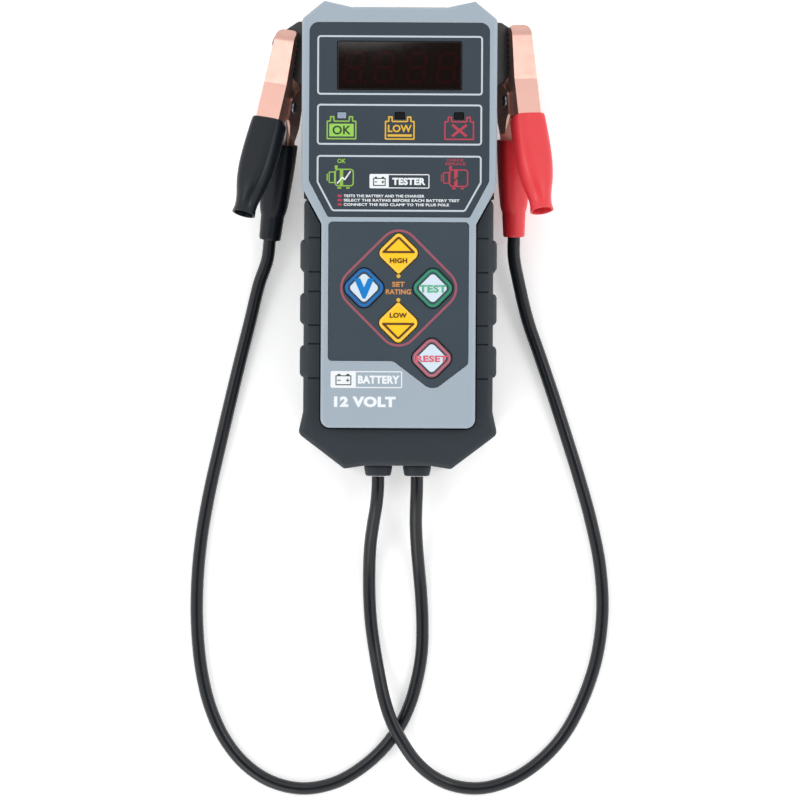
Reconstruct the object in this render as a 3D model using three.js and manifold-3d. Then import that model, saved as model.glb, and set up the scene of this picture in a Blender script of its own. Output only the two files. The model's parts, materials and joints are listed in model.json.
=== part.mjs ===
// Handheld 12 V battery tester with its two leads and clamps, lying on its back with the clamps parked.
// Millimetres. X points right, Y points along the body towards the display, Z points out of the front face.
import * as THREE from 'three';
import { mergeVertices } from 'three/addons/utils/BufferGeometryUtils.js';
import Module from 'manifold-3d';

const wasm = await Module();
wasm.setup();

// Clearance left between pieces that touch.
const GAP = 0.3;

// Housing heights.
const FACE_Z = 46;
const PARTING_Z = 36;
const SHELL_UNDER_Z = 43.4;
const RECESS_Z = 45;
const LABEL_BOTTOM_Z = 45.3;
const LABEL_TOP_Z = 45.8;
const BOOT_RIM_Z = 39.8;
const BOOT_FLOOR = 2.5;
const BOOT_TOP_Y = 15.5;
const WALL = 2.3;

// Inside heights.
const BOARD_BOTTOM_Z = 31.9;
const BOARD_TOP_Z = 33.5;
const PART_BASE_Z = 33.8;
const DISPLAY_TOP_Z = 41.8;

// Outlines: right-hand half, from the bottom to the top, as x, y and corner radius.
const FRONT_HALF = [[33.1, -83, 4], [33.1, 4.4, 3], [41.8, 20.4, 3], [41.8, 92, 2.5], [32.3, 99.8, 1.5], [20, 97, 3]];
const REAR_HALF = [[41, -12, 2], [41, 91.4, 3], [32, 98.8, 2], [20, 96, 3]];
const GRIP_INSIDE_HALF = [[18, -95.5, 2], [37, -84.5, 4], [37, 19, 1]];
const BOOT_HALF = [[14, -99.3, 1.5], [23, -100.7, 2], [42.9, -85.6, 3], [40.8, -76, 5], [40.8, 15.5, 2.6]];
const UPPER_LABEL_HALF = [[30.2, 7.4, 1], [38.3, 22.7, 2], [38.3, 90.2, 3.7]];
const KEYPAD_LABEL = [
  [-29.8, -54.1, 1.5], [-2, -54.1, 4], [14.8, -66.8, 5],
  [29.8, -55.4, 2.5], [29.8, 4.9, 1.5], [-29.8, 4.9, 1.5],
];
const WINDOW = { halfWidth: 26.8, bottom: 61.5, top: 82.6, radius: 1 };
const RIBS = [[-15.7, -1.8], [-38.6, -24.9], [-61.4, -47.4]];
const RIB_X = 42.4;

// Keys: centre, then outline corners around it. The travel is downwards.
const KEY_TOP_Z = 46.4;
const KEY_FLANGE_Z = 42.1;
const KEY_FLANGE = 0.9;
const DROP_KEY = [[0, -9.3, 1], [9.6, -0.1, 3], [0, 9.3, 2.3], [-9.6, -0.1, 3]];
const DIAMOND_KEY = [[0, -10.1, 3.8], [10.1, 0, 3.8], [0, 10.1, 3.8], [-10.1, 0, 3.8]];
const KEYS = [
  { name: 'high', x: 0, y: -8.1, corners: DROP_KEY, colour: 0xf5cf34 },
  { name: 'low', x: 0, y: -38.1, corners: flipped(DROP_KEY), colour: 0xf5cf34 },
  { name: 'volt', x: -14.7, y: -23.1, corners: DIAMOND_KEY, colour: 0x0064aa },
  { name: 'test', x: 14.7, y: -23.1, corners: DIAMOND_KEY, colour: 0x2c865f },
  { name: 'reset', x: 14.4, y: -53, corners: DIAMOND_KEY, colour: 0xb5303f },
];

// Indicator lamps under the front: three square windows and two lit symbols.
const LAMPS = [
  { name: 'good', x: -24.6, y: 50.6, window: true },
  { name: 'weak', x: 0.2, y: 50.6, window: true },
  { name: 'bad', x: 25.5, y: 50.6, window: true },
  { name: 'charge_good', x: -24.9, y: 24.2, window: false },
  { name: 'charge_bad', x: 23.5, y: 24.2, window: false },
];
const LAMP_WIDTH = 4.4;
const LAMP_HEIGHT = 3.2;

// Housing screws.
const SCREWS = [[-33, 88], [33, 88], [-25.5, -73], [25.5, -73]];
const BOSS_RADIUS = 3.5;
const SCREW_RADIUS = 1.45;
const SCREW_HEAD_Z = 24;

// Leads.
const LEAD_RADIUS = 2.8;
const GLAND_X = 8.5;
const GLAND_Z = 17.3;
const GLAND_END_Y = -104.2;

// Parking ears and clamps. Both tilt outwards so that the handles stand clear of the housing.
const PIVOT_X = 52;
const PIVOT_Y = 58.3;
const PIVOT_Z = 26;
const EAR_HALF_THICKNESS = 2.5;
const ROLL = THREE.MathUtils.degToRad(18);
const CLAMPS = [
  { name: 'red', side: 1, shift: 1.2, lean: THREE.MathUtils.degToRad(3.5), colour: 0xe95055 },
  { name: 'black', side: -1, shift: -1.3, lean: THREE.MathUtils.degToRad(10), colour: 0x22272d },
];
const ARM_HALF_WIDTH = 5.2;
const ARM_SHEET = 1.2;
const FRAME_HALF_WIDTH = 6.6;
const RIVET_RADIUS = 2;
const SPRING_WIRE = 0.55;
const SPRING_RADIUS = 3.3;
const SPRING_TURNS = 4;
const SLEEVE_WALL = 1;

// Sleeve axes, in clamp coordinates: start behind the pivot and across the jaws, tilt and length.
const FRONT_SLEEVE = { start: [7.7, 8.7], tilt: THREE.MathUtils.degToRad(16) };
const REAR_SLEEVE = { start: [15.6, -9], tilt: THREE.MathUtils.degToRad(-8), length: 43 };

// ---------- outlines and solids ----------

function flipped(corners) {
  return corners.map(([x, y, radius]) => [x, -y, radius]).reverse();
}

function bothSides(half) {
  const left = half.map(([x, y, radius]) => [-x, y, radius]).reverse();
  return [...half, ...left];
}

function moved(corners, x, y) {
  return corners.map(([cx, cy, radius]) => [cx + x, cy + y, radius]);
}

function box2(x0, y0, x1, y1, radius) {
  return [[x0, y0, radius], [x1, y0, radius], [x1, y1, radius], [x0, y1, radius]];
}

// Closed outline with rounded corners, moved inwards by the inset.
function outline(corners, inset = 0, steps = 3) {
  const points = [];
  const count = corners.length;
  for (let i = 0; i < count; i++) {
    const [x, y, radius] = corners[i];
    const before = corners[(i + count - 1) % count];
    const after = corners[(i + 1) % count];
    const inDirection = new THREE.Vector2(x - before[0], y - before[1]).normalize();
    const outDirection = new THREE.Vector2(after[0] - x, after[1] - y).normalize();
    const inNormal = new THREE.Vector2(-inDirection.y, inDirection.x);
    const outNormal = new THREE.Vector2(-outDirection.y, outDirection.x);
    const share = inset / (1 + inNormal.dot(outNormal));
    const corner = new THREE.Vector2(x, y).addScaledVector(inNormal, share).addScaledVector(outNormal, share);
    const turn = Math.atan2(inDirection.cross(outDirection), inDirection.dot(outDirection));
    const sign = Math.sign(turn) || 1;
    const bend = Math.max(radius - sign * inset, 0.1);
    const reach = bend * Math.tan(Math.abs(turn) / 2);
    const start = corner.clone().addScaledVector(inDirection, -reach);
    const centre = start.clone().addScaledVector(inNormal, sign * bend);
    for (let k = 0; k <= steps; k++) {
      const arm = start.clone().sub(centre);
      arm.rotateAround(new THREE.Vector2(0, 0), (turn * k) / steps);
      points.push([centre.x + arm.x, centre.y + arm.y]);
    }
  }
  return points;
}

function circle(radius, sides = 16, x = 0, y = 0) {
  const points = [];
  for (let k = 0; k < sides; k++) {
    const angle = (2 * Math.PI * k) / sides;
    points.push([x + radius * Math.cos(angle), y + radius * Math.sin(angle)]);
  }
  return points;
}

// Solid through a stack of outlines that all have the same number of points.
function loft(layers, place = (u, v, t) => [u, v, t]) {
  const count = layers[0].points.length;
  const vertices = [];
  const triangles = [];
  for (const layer of layers) {
    for (const [u, v] of layer.points) vertices.push(...place(u, v, layer.at));
  }
  for (let level = 0; level + 1 < layers.length; level++) {
    for (let k = 0; k < count; k++) {
      const a = level * count + k;
      const b = level * count + ((k + 1) % count);
      triangles.push(a, b, b + count, a, b + count, a + count);
    }
  }
  for (const [index, up] of [[0, false], [layers.length - 1, true]]) {
    const flat = layers[index].points.map(([u, v]) => new THREE.Vector2(u, v));
    for (const [a, b, c] of THREE.ShapeUtils.triangulateShape(flat, [])) {
      const area = flat[b].clone().sub(flat[a]).cross(flat[c].clone().sub(flat[a]));
      const face = area > 0 === up ? [a, b, c] : [a, c, b];
      triangles.push(...face.map((k) => k + index * count));
    }
  }
  return new wasm.Manifold(new wasm.Mesh({
    numProp: 3,
    vertProperties: new Float32Array(vertices),
    triVerts: new Uint32Array(triangles),
  }));
}

// Upright prism with rounded corners, as a list of heights and insets.
function prism(corners, levels, steps = 3) {
  return loft(levels.map(([z, inset]) => ({ at: z, points: outline(corners, inset, steps) })));
}

function slab(corners, bottom, top, inset = 0, steps = 3) {
  return prism(corners, [[bottom, inset], [top, inset]], steps);
}

function block(x0, x1, y0, y1, z0, z1) {
  const points = [[x0, y0], [x1, y0], [x1, y1], [x0, y1]];
  return loft([{ at: z0, points }, { at: z1, points }]);
}

// Turned piece around an upright axis, as a list of heights and radii.
function turned(profile, x, y, sides = 16) {
  return loft(profile.map(([z, radius]) => ({ at: z, points: circle(radius, sides, x, y) })));
}

function rod(radius, bottom, top, x, y, sides = 16) {
  return turned([[bottom, radius], [top, radius]], x, y, sides);
}

// Turned piece around an axis along Y, as a list of distances along -Y and radii.
function turnedAlongBody(profile, x, z, sides = 20) {
  const layers = profile.map(([along, radius]) => ({ at: along, points: circle(radius, sides) }));
  return loft(layers, (u, v, t) => [x + u, -t, z + v]);
}

function solidFrom(geometry) {
  geometry.deleteAttribute('normal');
  geometry.deleteAttribute('uv');
  const merged = mergeVertices(geometry, 1e-4);
  return new wasm.Manifold(new wasm.Mesh({
    numProp: 3,
    vertProperties: new Float32Array(merged.attributes.position.array),
    triVerts: new Uint32Array(merged.index.array),
  }));
}

function sweep(points, radius, steps, sides) {
  const curve = new THREE.CatmullRomCurve3(points.map((p) => new THREE.Vector3(...p)), false, 'centripetal');
  const shape = new THREE.Shape(circle(radius, sides).map(([x, y]) => new THREE.Vector2(x, y)));
  return new THREE.ExtrudeGeometry(shape, { steps, extrudePath: curve, bevelEnabled: false });
}

function geometryFrom(solid) {
  const { vertProperties, triVerts, numProp } = solid.getMesh();
  const positions = [];
  for (const index of triVerts) {
    positions.push(...vertProperties.slice(index * numProp, index * numProp + 3));
  }
  const geometry = new THREE.BufferGeometry();
  geometry.setAttribute('position', new THREE.Float32BufferAttribute(positions, 3));
  geometry.computeVertexNormals();
  return geometry;
}

// ---------- materials ----------

function plastic(colour, roughness = 0.5) {
  return new THREE.MeshStandardMaterial({ color: colour, roughness, metalness: 0 });
}

function metal(colour, roughness = 0.35) {
  return new THREE.MeshStandardMaterial({ color: colour, roughness, metalness: 1 });
}

const greyPlastic = () => plastic(0xa8b6c1, 0.45);
const blackPlastic = () => plastic(0x2b2f33, 0.55);
const blackRubber = () => plastic(0x34383c, 0.75);
const labelFilm = () => plastic(0x3f4b57, 0.4);
const boardGreen = () => plastic(0x1f5a3a, 0.6);
const copper = () => metal(0xe0a58c, 0.3);
const steel = () => metal(0xb8bcc0, 0.35);
const brass = () => metal(0xc9a75a, 0.35);
const clearPlastic = () => plastic(0xc8d2da, 0.2);
const leadRubber = () => plastic(0x202226, 0.5);

// ---------- housing ----------

function screwColumn(x, y) {
  return rod(SCREW_RADIUS + GAP, PARTING_Z - 20, 40.8, x, y);
}

function frontShell() {
  const corners = bothSides(FRONT_HALF);
  let shell = prism(corners, [[PARTING_Z + GAP, 0], [43.4, 0], [45.2, 0.5], [FACE_Z, 1.7]], 4);
  shell = shell.subtract(slab(corners, PARTING_Z, SHELL_UNDER_Z, WALL, 4));
  for (const [x, y] of SCREWS) {
    shell = shell.add(rod(BOSS_RADIUS, PART_BASE_Z, SHELL_UNDER_Z + 0.5, x, y));
  }
  for (const [x, y] of SCREWS) shell = shell.subtract(screwColumn(x, y));
  shell = shell.subtract(slab(bothSides(UPPER_LABEL_HALF), RECESS_Z, 50, -GAP));
  shell = shell.subtract(slab(KEYPAD_LABEL, RECESS_Z, 50, -GAP));
  const opening = box2(-WINDOW.halfWidth, WINDOW.bottom, WINDOW.halfWidth, WINDOW.top, WINDOW.radius);
  shell = shell.subtract(slab(opening, 40, 50));
  for (const lamp of LAMPS) {
    if (lamp.window) shell = shell.subtract(lampHole(lamp));
    else shell = shell.subtract(rod(2.2, 40, 50, lamp.x, lamp.y, 16));
  }
  for (const key of KEYS) {
    shell = shell.subtract(slab(moved(key.corners, key.x, key.y), 40, 50, -GAP));
  }
  return shell;
}

function lampHole(lamp) {
  const { x, y } = lamp;
  return slab(box2(x - LAMP_WIDTH / 2, y - LAMP_HEIGHT / 2, x + LAMP_WIDTH / 2, y + LAMP_HEIGHT / 2, 0.4), 40, 50);
}

// Ear on each side of the housing, where a clamp is parked.
function ear(side) {
  const shape = [
    [-13.5, 6.9, 0.2], [-10, 6.9, 1], [-4.5, 11.8, 2], [2, 13.8, 2], [3, 16, 1],
    [3, 26, 1], [2, 28.5, 2], [-2, 30.5, 2], [-9, 34.5, 1], [-13.5, 34.5, 0.2],
  ];
  const plate = prism(shape, [
    [-EAR_HALF_THICKNESS, 0.5], [0.6 - EAR_HALF_THICKNESS, 0],
    [EAR_HALF_THICKNESS - 0.6, 0], [EAR_HALF_THICKNESS, 0.5],
  ]);
  const outward = new THREE.Vector3(side * Math.cos(ROLL), 0, -Math.sin(ROLL));
  const along = new THREE.Vector3(0, 1, 0);
  const across = new THREE.Vector3().crossVectors(outward, along);
  const placement = new THREE.Matrix4().makeBasis(outward, along, across);
  placement.setPosition(side * PIVOT_X, PIVOT_Y, PIVOT_Z);
  return plate.transform(placement.elements);
}

function rearShell() {
  const upper = bothSides(REAR_HALF);
  const grip = bothSides(GRIP_INSIDE_HALF);
  let shell = prism(upper, [[0, 6], [0.8, 4.8], [2.5, 4], [PARTING_Z, 0]], 4);
  shell = shell.subtract(block(-60, 60, -60, BOOT_TOP_Y + GAP, -1, 50));
  shell = shell.add(ear(1)).add(ear(-1));
  shell = shell.add(slab(grip, BOOT_FLOOR + GAP, PARTING_Z));
  const upperRoom = prism(upper, [[2.6, 6.3], [PARTING_Z + 1, WALL]], 4);
  shell = shell.subtract(upperRoom.subtract(block(-60, 60, -60, 18, -1, 50)));
  shell = shell.subtract(slab(bothSides([[17, -93, 2], [34.7, -83, 3], [34.7, 30, 1]]), 5.1, 33.7));
  shell = shell.subtract(slab(bothSides([[30.8, -80.7, 3], [30.8, 30, 1]]), 30, 40));
  for (const [x, y] of SCREWS) shell = shell.add(rod(4.6, 4, BOARD_BOTTOM_Z - GAP, x, y));
  for (const [x, y] of SCREWS) {
    shell = shell.subtract(rod(SCREW_RADIUS + GAP, 10, 40, x, y));
    shell = shell.subtract(rod(3.3, -1, SCREW_HEAD_Z, x, y));
  }
  for (const side of [-1, 1]) shell = shell.subtract(glandBore(side));
  return shell;
}

function glandBore(side) {
  return turnedAlongBody([[84, 4.4], [120, 4.4]], side * GLAND_X, GLAND_Z);
}

// Rubber boot around the grip: three ribs a side, a flared foot and grooves that run in from the ribs.
function gripBoot() {
  const corners = bothSides(BOOT_HALF);
  let boot = prism(corners, [[0, 2.4], [0.7, 1], [2.4, 0], [35, 0], [38.4, 1], [BOOT_RIM_Z, 2.6]]);
  for (const [bottom, top] of RIBS) {
    const rib = box2(-RIB_X, bottom, RIB_X, top, 2.2);
    boot = boot.add(prism(rib, [[0.7, 2.4], [2.4, 1], [4, 0], [34.5, 0], [38, 1.4], [BOOT_RIM_Z - 0.2, 3.4]]));
  }
  const grip = bothSides(GRIP_INSIDE_HALF);
  const pocketTop = PARTING_Z + GAP;
  boot = boot.subtract(slab(grip, BOOT_FLOOR, pocketTop, -GAP));
  boot = boot.subtract(block(-37 - GAP, 37 + GAP, 10, 30, BOOT_FLOOR, pocketTop));
  boot = boot.subtract(slab(bothSides(FRONT_HALF), pocketTop - 0.1, 50, -0.7, 4));
  for (const [bottom, top] of RIBS) {
    for (const y of [bottom - 0.4, top + 0.4]) {
      boot = boot.subtract(block(-38.5, 38.5, y - 0.35, y + 0.35, BOOT_RIM_Z - 0.6, 50));
    }
  }
  for (const [x, y] of SCREWS) {
    if (y < 0) boot = boot.subtract(rod(3.6, -1, 5, x, y));
  }
  for (const side of [-1, 1]) boot = boot.subtract(glandBore(side));
  return boot;
}

function upperLabel() {
  let label = slab(bothSides(UPPER_LABEL_HALF), LABEL_BOTTOM_Z, LABEL_TOP_Z);
  const opening = box2(-WINDOW.halfWidth, WINDOW.bottom, WINDOW.halfWidth, WINDOW.top, WINDOW.radius);
  label = label.subtract(slab(opening, 40, 50));
  for (const lamp of LAMPS) {
    if (lamp.window) label = label.subtract(lampHole(lamp));
  }
  return label;
}

function keypadLabel() {
  let label = slab(KEYPAD_LABEL, LABEL_BOTTOM_Z, LABEL_TOP_Z);
  for (const key of KEYS) {
    label = label.subtract(slab(moved(key.corners, key.x, key.y), 40, 50, -GAP));
  }
  return label;
}

function displayWindow() {
  const face = box2(-WINDOW.halfWidth, WINDOW.bottom, WINDOW.halfWidth, WINDOW.top, WINDOW.radius);
  const pane = slab(face, 42.4, LABEL_TOP_Z, GAP);
  return pane.add(slab(face, 42.1, SHELL_UNDER_Z - GAP, -1.5));
}

function housingScrew(x, y) {
  const screw = turned([
    [SCREW_HEAD_Z - 2.3, 2.4], [SCREW_HEAD_Z - 1.7, 2.8], [SCREW_HEAD_Z - GAP, 2.8],
    [SCREW_HEAD_Z - GAP + 0.001, SCREW_RADIUS], [39.4, SCREW_RADIUS], [40.2, 0.8],
  ], x, y);
  const slot = SCREW_HEAD_Z - 3;
  const crossOne = block(x - 1.7, x + 1.7, y - 0.4, y + 0.4, slot, slot + 1.8);
  const crossTwo = block(x - 0.4, x + 0.4, y - 1.7, y + 1.7, slot, slot + 1.8);
  return screw.subtract(crossOne).subtract(crossTwo);
}

// ---------- keys and switches ----------

function keyPad(key) {
  const corners = moved(key.corners, key.x, key.y);
  const cap = prism(corners, [[42.5, 0.1], [45.9, 0.1], [KEY_TOP_Z, 0.7]]);
  return cap.add(slab(corners, KEY_FLANGE_Z, SHELL_UNDER_Z - GAP, -KEY_FLANGE));
}

function switchBody(key) {
  const { x, y } = key;
  const body = block(x - 3, x + 3, y - 3, y + 3, PART_BASE_Z, 37.3);
  return body.subtract(rod(2, 35, 40, x, y));
}

function switchPlunger(key) {
  return turned([[35.9, 1.7], [41.4, 1.7], [KEY_FLANGE_Z - GAP, 1.5]], key.x, key.y);
}

// ---------- electronics ----------

function mainBoard() {
  const corners = bothSides([[29.3, -79, 1], [29.3, 16.5, 1], [35.4, 26, 1], [35.4, 90, 5], [30, 93, 2]]);
  let board = slab(corners, BOARD_BOTTOM_Z, BOARD_TOP_Z, 0, 2);
  for (const [x, y] of SCREWS) board = board.subtract(rod(SCREW_RADIUS + GAP, 30, 36, x, y));
  return board;
}

function displayModule() {
  let display = block(-25.15, 25.15, 62.5, 81.5, PART_BASE_Z, DISPLAY_TOP_Z);
  for (let digit = 0; digit < 4; digit++) {
    const centre = -19.05 + 12.7 * digit;
    display = display.subtract(block(centre - 5, centre + 5, 64.3, 79.7, DISPLAY_TOP_Z - 0.3, DISPLAY_TOP_Z + 1));
  }
  return display;
}

function led(lamp) {
  const { x, y } = lamp;
  const base = block(x - 1.75, x + 1.75, y - 1.4, y + 1.4, PART_BASE_Z, PART_BASE_Z + 1.2);
  return base.add(rod(1.2, PART_BASE_Z + 1, PART_BASE_Z + 1.9, x, y, 16));
}

function lightPipe(lamp) {
  const { x, y } = lamp;
  const width = LAMP_WIDTH / 2 - GAP;
  const height = LAMP_HEIGHT / 2 - GAP;
  const pipe = block(x - width, x + width, y - height, y + height, 36, LABEL_TOP_Z);
  return pipe.add(block(x - width - 1, x + width + 1, y - height - 1, y + height + 1, 42, SHELL_UNDER_Z - GAP));
}

function microcontroller() {
  let chip = prism(box2(-6, 33, 6, 43, 0.4), [[PART_BASE_Z, 0], [34.4, 0], [35.4, 0.3]], 2);
  for (let pin = 0; pin < 8; pin++) {
    const y = 34.1 + 1.1 * pin;
    chip = chip.add(block(-7.4, 7.4, y, y + 0.5, PART_BASE_Z, PART_BASE_Z + 0.5));
  }
  return chip;
}

function buzzer() {
  const can = turned([[PART_BASE_Z, 6], [39.8, 6], [40.3, 5.5]], -14, 8);
  return can.subtract(rod(1, 38, 42, -14, 8));
}

function loadResistor() {
  const top = BOARD_BOTTOM_Z - GAP;
  return prism(box2(-24, 30, 24, 43, 1), [[top - 12, 1], [top - 11, 0], [top - 1, 0], [top, 1]], 3);
}

function powerTransistor() {
  const top = BOARD_BOTTOM_Z - GAP;
  const body = block(8, 18.2, -2, 7, top - 4.5, top);
  const tab = block(8, 18.2, 6, 13.5, top - 1.3, top);
  return body.add(tab).subtract(rod(1.8, 20, 40, 13.1, 10.3, 16));
}

function leadTerminal(side) {
  const top = BOARD_BOTTOM_Z - GAP;
  const x = side * GLAND_X;
  return block(x - 3, x + 3, -72, -64, top - 6, top);
}

function innerWire(side) {
  const x = side * GLAND_X;
  return sweep([
    [x, -90, GLAND_Z], [x, -86, GLAND_Z], [x, -81, 19.5], [x, -77, 24.5], [x, -74.6, 28.2], [x, -72.6, 28.6],
  ], 1.9, 12, 8);
}

// ---------- leads ----------

function strainRelief(side) {
  return turnedAlongBody([
    [90.3, 6], [92.6, 6], [92.6 + 0.01, 4.1], [99.6, 4.1],
    [99.61, 6.1], [100.2, 6.2], [102, 5.9], [103.6, 5.6], [-GLAND_END_Y, 5.2],
  ], side * GLAND_X, GLAND_Z);
}

// Point in the frame of a clamp: along towards the jaws, across the opening, and along the rivet.
function clampFrame(clamp) {
  const across = new THREE.Vector3(clamp.side * Math.sin(ROLL), 0, Math.cos(ROLL));
  const outward = new THREE.Vector3(clamp.side * Math.cos(ROLL), 0, -Math.sin(ROLL));
  const along = new THREE.Vector3(0, Math.cos(clamp.lean), 0).addScaledVector(outward, -Math.sin(clamp.lean));
  const rivet = new THREE.Vector3().crossVectors(along, across);
  const frame = new THREE.Matrix4().makeBasis(along, across, rivet);
  return frame.setPosition(clamp.side * PIVOT_X, PIVOT_Y + clamp.shift, PIVOT_Z);
}

function placed(solid, clamp) {
  return solid.transform(clampFrame(clamp).elements);
}

// Two points on the line of the rear sleeve: a little way out, and just off its end.
function leadEnd(clamp) {
  const { start, tilt, length } = REAR_SLEEVE;
  const frame = clampFrame(clamp);
  return [length + 9, length + GAP].map((along) => {
    const point = new THREE.Vector3(-start[0] - along * Math.cos(tilt), start[1] + along * Math.sin(tilt), 0);
    return point.applyMatrix4(frame).toArray();
  });
}

// Routes from the gland to the clamp: down to the table, around a wide loop and up to the parked clamp.
const RED_ROUTE = [
  [-8.5, -104.5, 17.3], [-8.6, -110, 17.3], [-9.2, -117, 15.8], [-10.5, -125, 12.4], [-11.8, -135, 8],
  [-12.3, -146, 4.6], [-12.2, -158, 3.1], [-11.5, -169, 3], [-10, -180, 3.6], [-8, -191, 5.8],
  [-5.4, -203, 8], [-2, -213, 8.9], [3, -222.5, 8.6], [9, -231, 7.3], [17, -238, 5.2],
  [27, -242.3, 3.4], [39, -243, 2.9], [53, -238.5, 2.9], [65, -230, 2.9], [75, -218.5, 2.9],
  [83, -203, 2.9], [88.8, -185, 2.9], [91.3, -165, 2.9], [90.2, -145, 2.9], [86.2, -125, 2.9],
  [80.6, -105, 2.9], [74.6, -86, 2.9], [68.4, -67, 3], [62.5, -50, 3.7], [57.2, -35, 5.2],
  [53.4, -20, 7.6],
];
const BLACK_ROUTE = [
  [8.5, -104.5, 17.3], [8.5, -110, 17.3], [8.3, -117, 15.8], [8.2, -125, 12.4], [8.7, -135, 8.4],
  [9.7, -146, 5], [10.8, -158, 3.3], [11.4, -170, 2.9], [11.2, -182, 2.9], [9.6, -193, 2.9],
  [6.4, -205, 2.9], [1.4, -216, 2.9], [-6, -226, 2.9], [-15.5, -234.5, 2.9], [-27, -241, 2.9],
  [-41, -243.7, 2.9], [-55, -240.8, 2.9], [-66.5, -233.5, 2.9], [-76, -222, 2.9], [-82.5, -208, 2.9],
  [-86.5, -192, 2.9], [-88.6, -172, 2.9], [-88.6, -152, 2.9], [-86.8, -132, 2.9], [-83.4, -112, 2.9],
  [-79, -92, 2.9], [-74.2, -71, 2.9], [-69.7, -52, 2.9], [-65.7, -36, 3.6], [-61.8, -20, 5.3],
];

function lead(route, clamp) {
  return sweep([...route, ...leadEnd(clamp)], LEAD_RADIUS, 76, 8);
}

// ---------- clamps, in the clamp frame ----------

// Sheet arm folded into a channel: the outline is its side view, the back is the folded plate.
function channelArm(sideView, hollow, halfWidth) {
  const body = slab(sideView, -halfWidth, halfWidth, 0, 3);
  return body.subtract(slab(hollow, ARM_SHEET - halfWidth, halfWidth - ARM_SHEET, 0, 1));
}

function teeth(direction, halfWidth) {
  let cuts = null;
  for (let tooth = 0; tooth < 7; tooth++) {
    const start = 13 + 2.4 * tooth;
    const tip = direction * (EAR_HALF_THICKNESS + GAP + 1.1);
    const base = direction * (EAR_HALF_THICKNESS + GAP - 0.2);
    const points = direction > 0
      ? [[start, base], [start + 1.8, base], [start + 0.9, tip]]
      : [[start + 1.8, base], [start, base], [start + 0.9, tip]];
    const cut = loft([{ at: -halfWidth - 1, points }, { at: halfWidth + 1, points }]);
    cuts = cuts ? cuts.add(cut) : cut;
  }
  return cuts;
}

// Cuts that round the tip of an arm and narrow its handle.
function armPlan(halfWidth, tip, handleEnd, handleHalfWidth, height) {
  const plan = [
    [-handleEnd, -handleHalfWidth, 1.5], [-9, -halfWidth, 4], [9, -halfWidth, 8], [tip, -halfWidth + 0.8, 2.4],
    [tip, halfWidth - 0.8, 2.4], [9, halfWidth, 8], [-9, halfWidth, 4], [-handleEnd, handleHalfWidth, 1.5],
  ];
  const layers = [-height, height].map((at) => ({ at, points: outline(plan, 0, 4) }));
  return loft(layers, (u, v, t) => [u, -t, v]);
}

function frontJaw() {
  const jaw = EAR_HALF_THICKNESS + GAP;
  const sideView = [
    [-4.2, -3.2, 2], [4.2, -3.2, 2], [9.5, jaw, 1.5], [32.5, jaw, 0.6], [32.5, 4.6, 1.2], [29, 8, 5],
    [8.6, 9.7, 4], [-7, 12.3, 6], [-33, 18.3, 0.6], [-33, 15, 0.6], [-7.4, 6.7, 1.5],
  ];
  const hollow = [
    [31.2, -9, 0.1], [31.2, 4.2, 0.4], [28.6, 6.8, 3], [8.6, 8.5, 3],
    [-7, 11.1, 4], [-34, 17.4, 0.1], [-34, 6, 0.1], [-15, -9, 0.1],
  ];
  let arm = channelArm(sideView, hollow, ARM_HALF_WIDTH);
  arm = arm.subtract(teeth(1, ARM_HALF_WIDTH));
  arm = arm.intersect(armPlan(ARM_HALF_WIDTH, 32.5, 33, 3.6, 40));
  return arm.subtract(rod(RIVET_RADIUS + GAP, -20, 20, 0, 0));
}

function rearJaw() {
  const jaw = -EAR_HALF_THICKNESS - GAP;
  const sideView = [
    [-5.5, 3.4, 2], [-14, -5.6, 3], [-38, -12.2, 0.6], [-38, -15.6, 0.6], [-8, -10.8, 6], [8, -9.6, 8],
    [28, -8, 5], [31.5, -4.8, 1.2], [31.5, jaw, 0.6], [7.4, jaw, 1], [3.4, 3.4, 2],
  ];
  const hollow = [
    [-16, 9, 0.1], [-39, -6, 0.1], [-39, -14.6, 0.1], [-8, -9.6, 4], [8, -8.4, 6],
    [27.6, -6.8, 3], [30.2, -4.4, 0.4], [30.2, 9, 0.1],
  ];
  let arm = channelArm(sideView, hollow, FRAME_HALF_WIDTH - 0.1);
  const plan = [
    [-38, -4.2, 1.5], [-14, -5.2, 4], [-8, -6.5, 3], [9, -6.5, 3], [16, -5.2, 3], [31.5, -5.2, 2.6],
    [31.5, 5.2, 2.6], [16, 5.2, 3], [9, 6.5, 3], [-8, 6.5, 3], [-14, 5.2, 4], [-38, 4.2, 1.5],
  ];
  const layers = [-40, 40].map((at) => ({ at, points: outline(plan, 0, 3) }));
  arm = arm.intersect(loft(layers, (u, v, t) => [u, -t, v]));
  arm = arm.subtract(teeth(-1, FRAME_HALF_WIDTH));
  return arm.subtract(rod(RIVET_RADIUS + GAP, -20, 20, 0, 0));
}

// Hollow rivet with a rolled head at each end.
function rivet() {
  const cheek = FRAME_HALF_WIDTH + GAP - 0.1;
  return turned([
    [-cheek - 1, 1.8], [-cheek - 0.8, 2.5], [-cheek, 2.7], [-cheek + 0.01, RIVET_RADIUS],
    [cheek - 0.01, RIVET_RADIUS], [cheek, 2.7], [cheek + 0.8, 2.5], [cheek + 1, 1.8],
  ], 0, 0);
}

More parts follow.
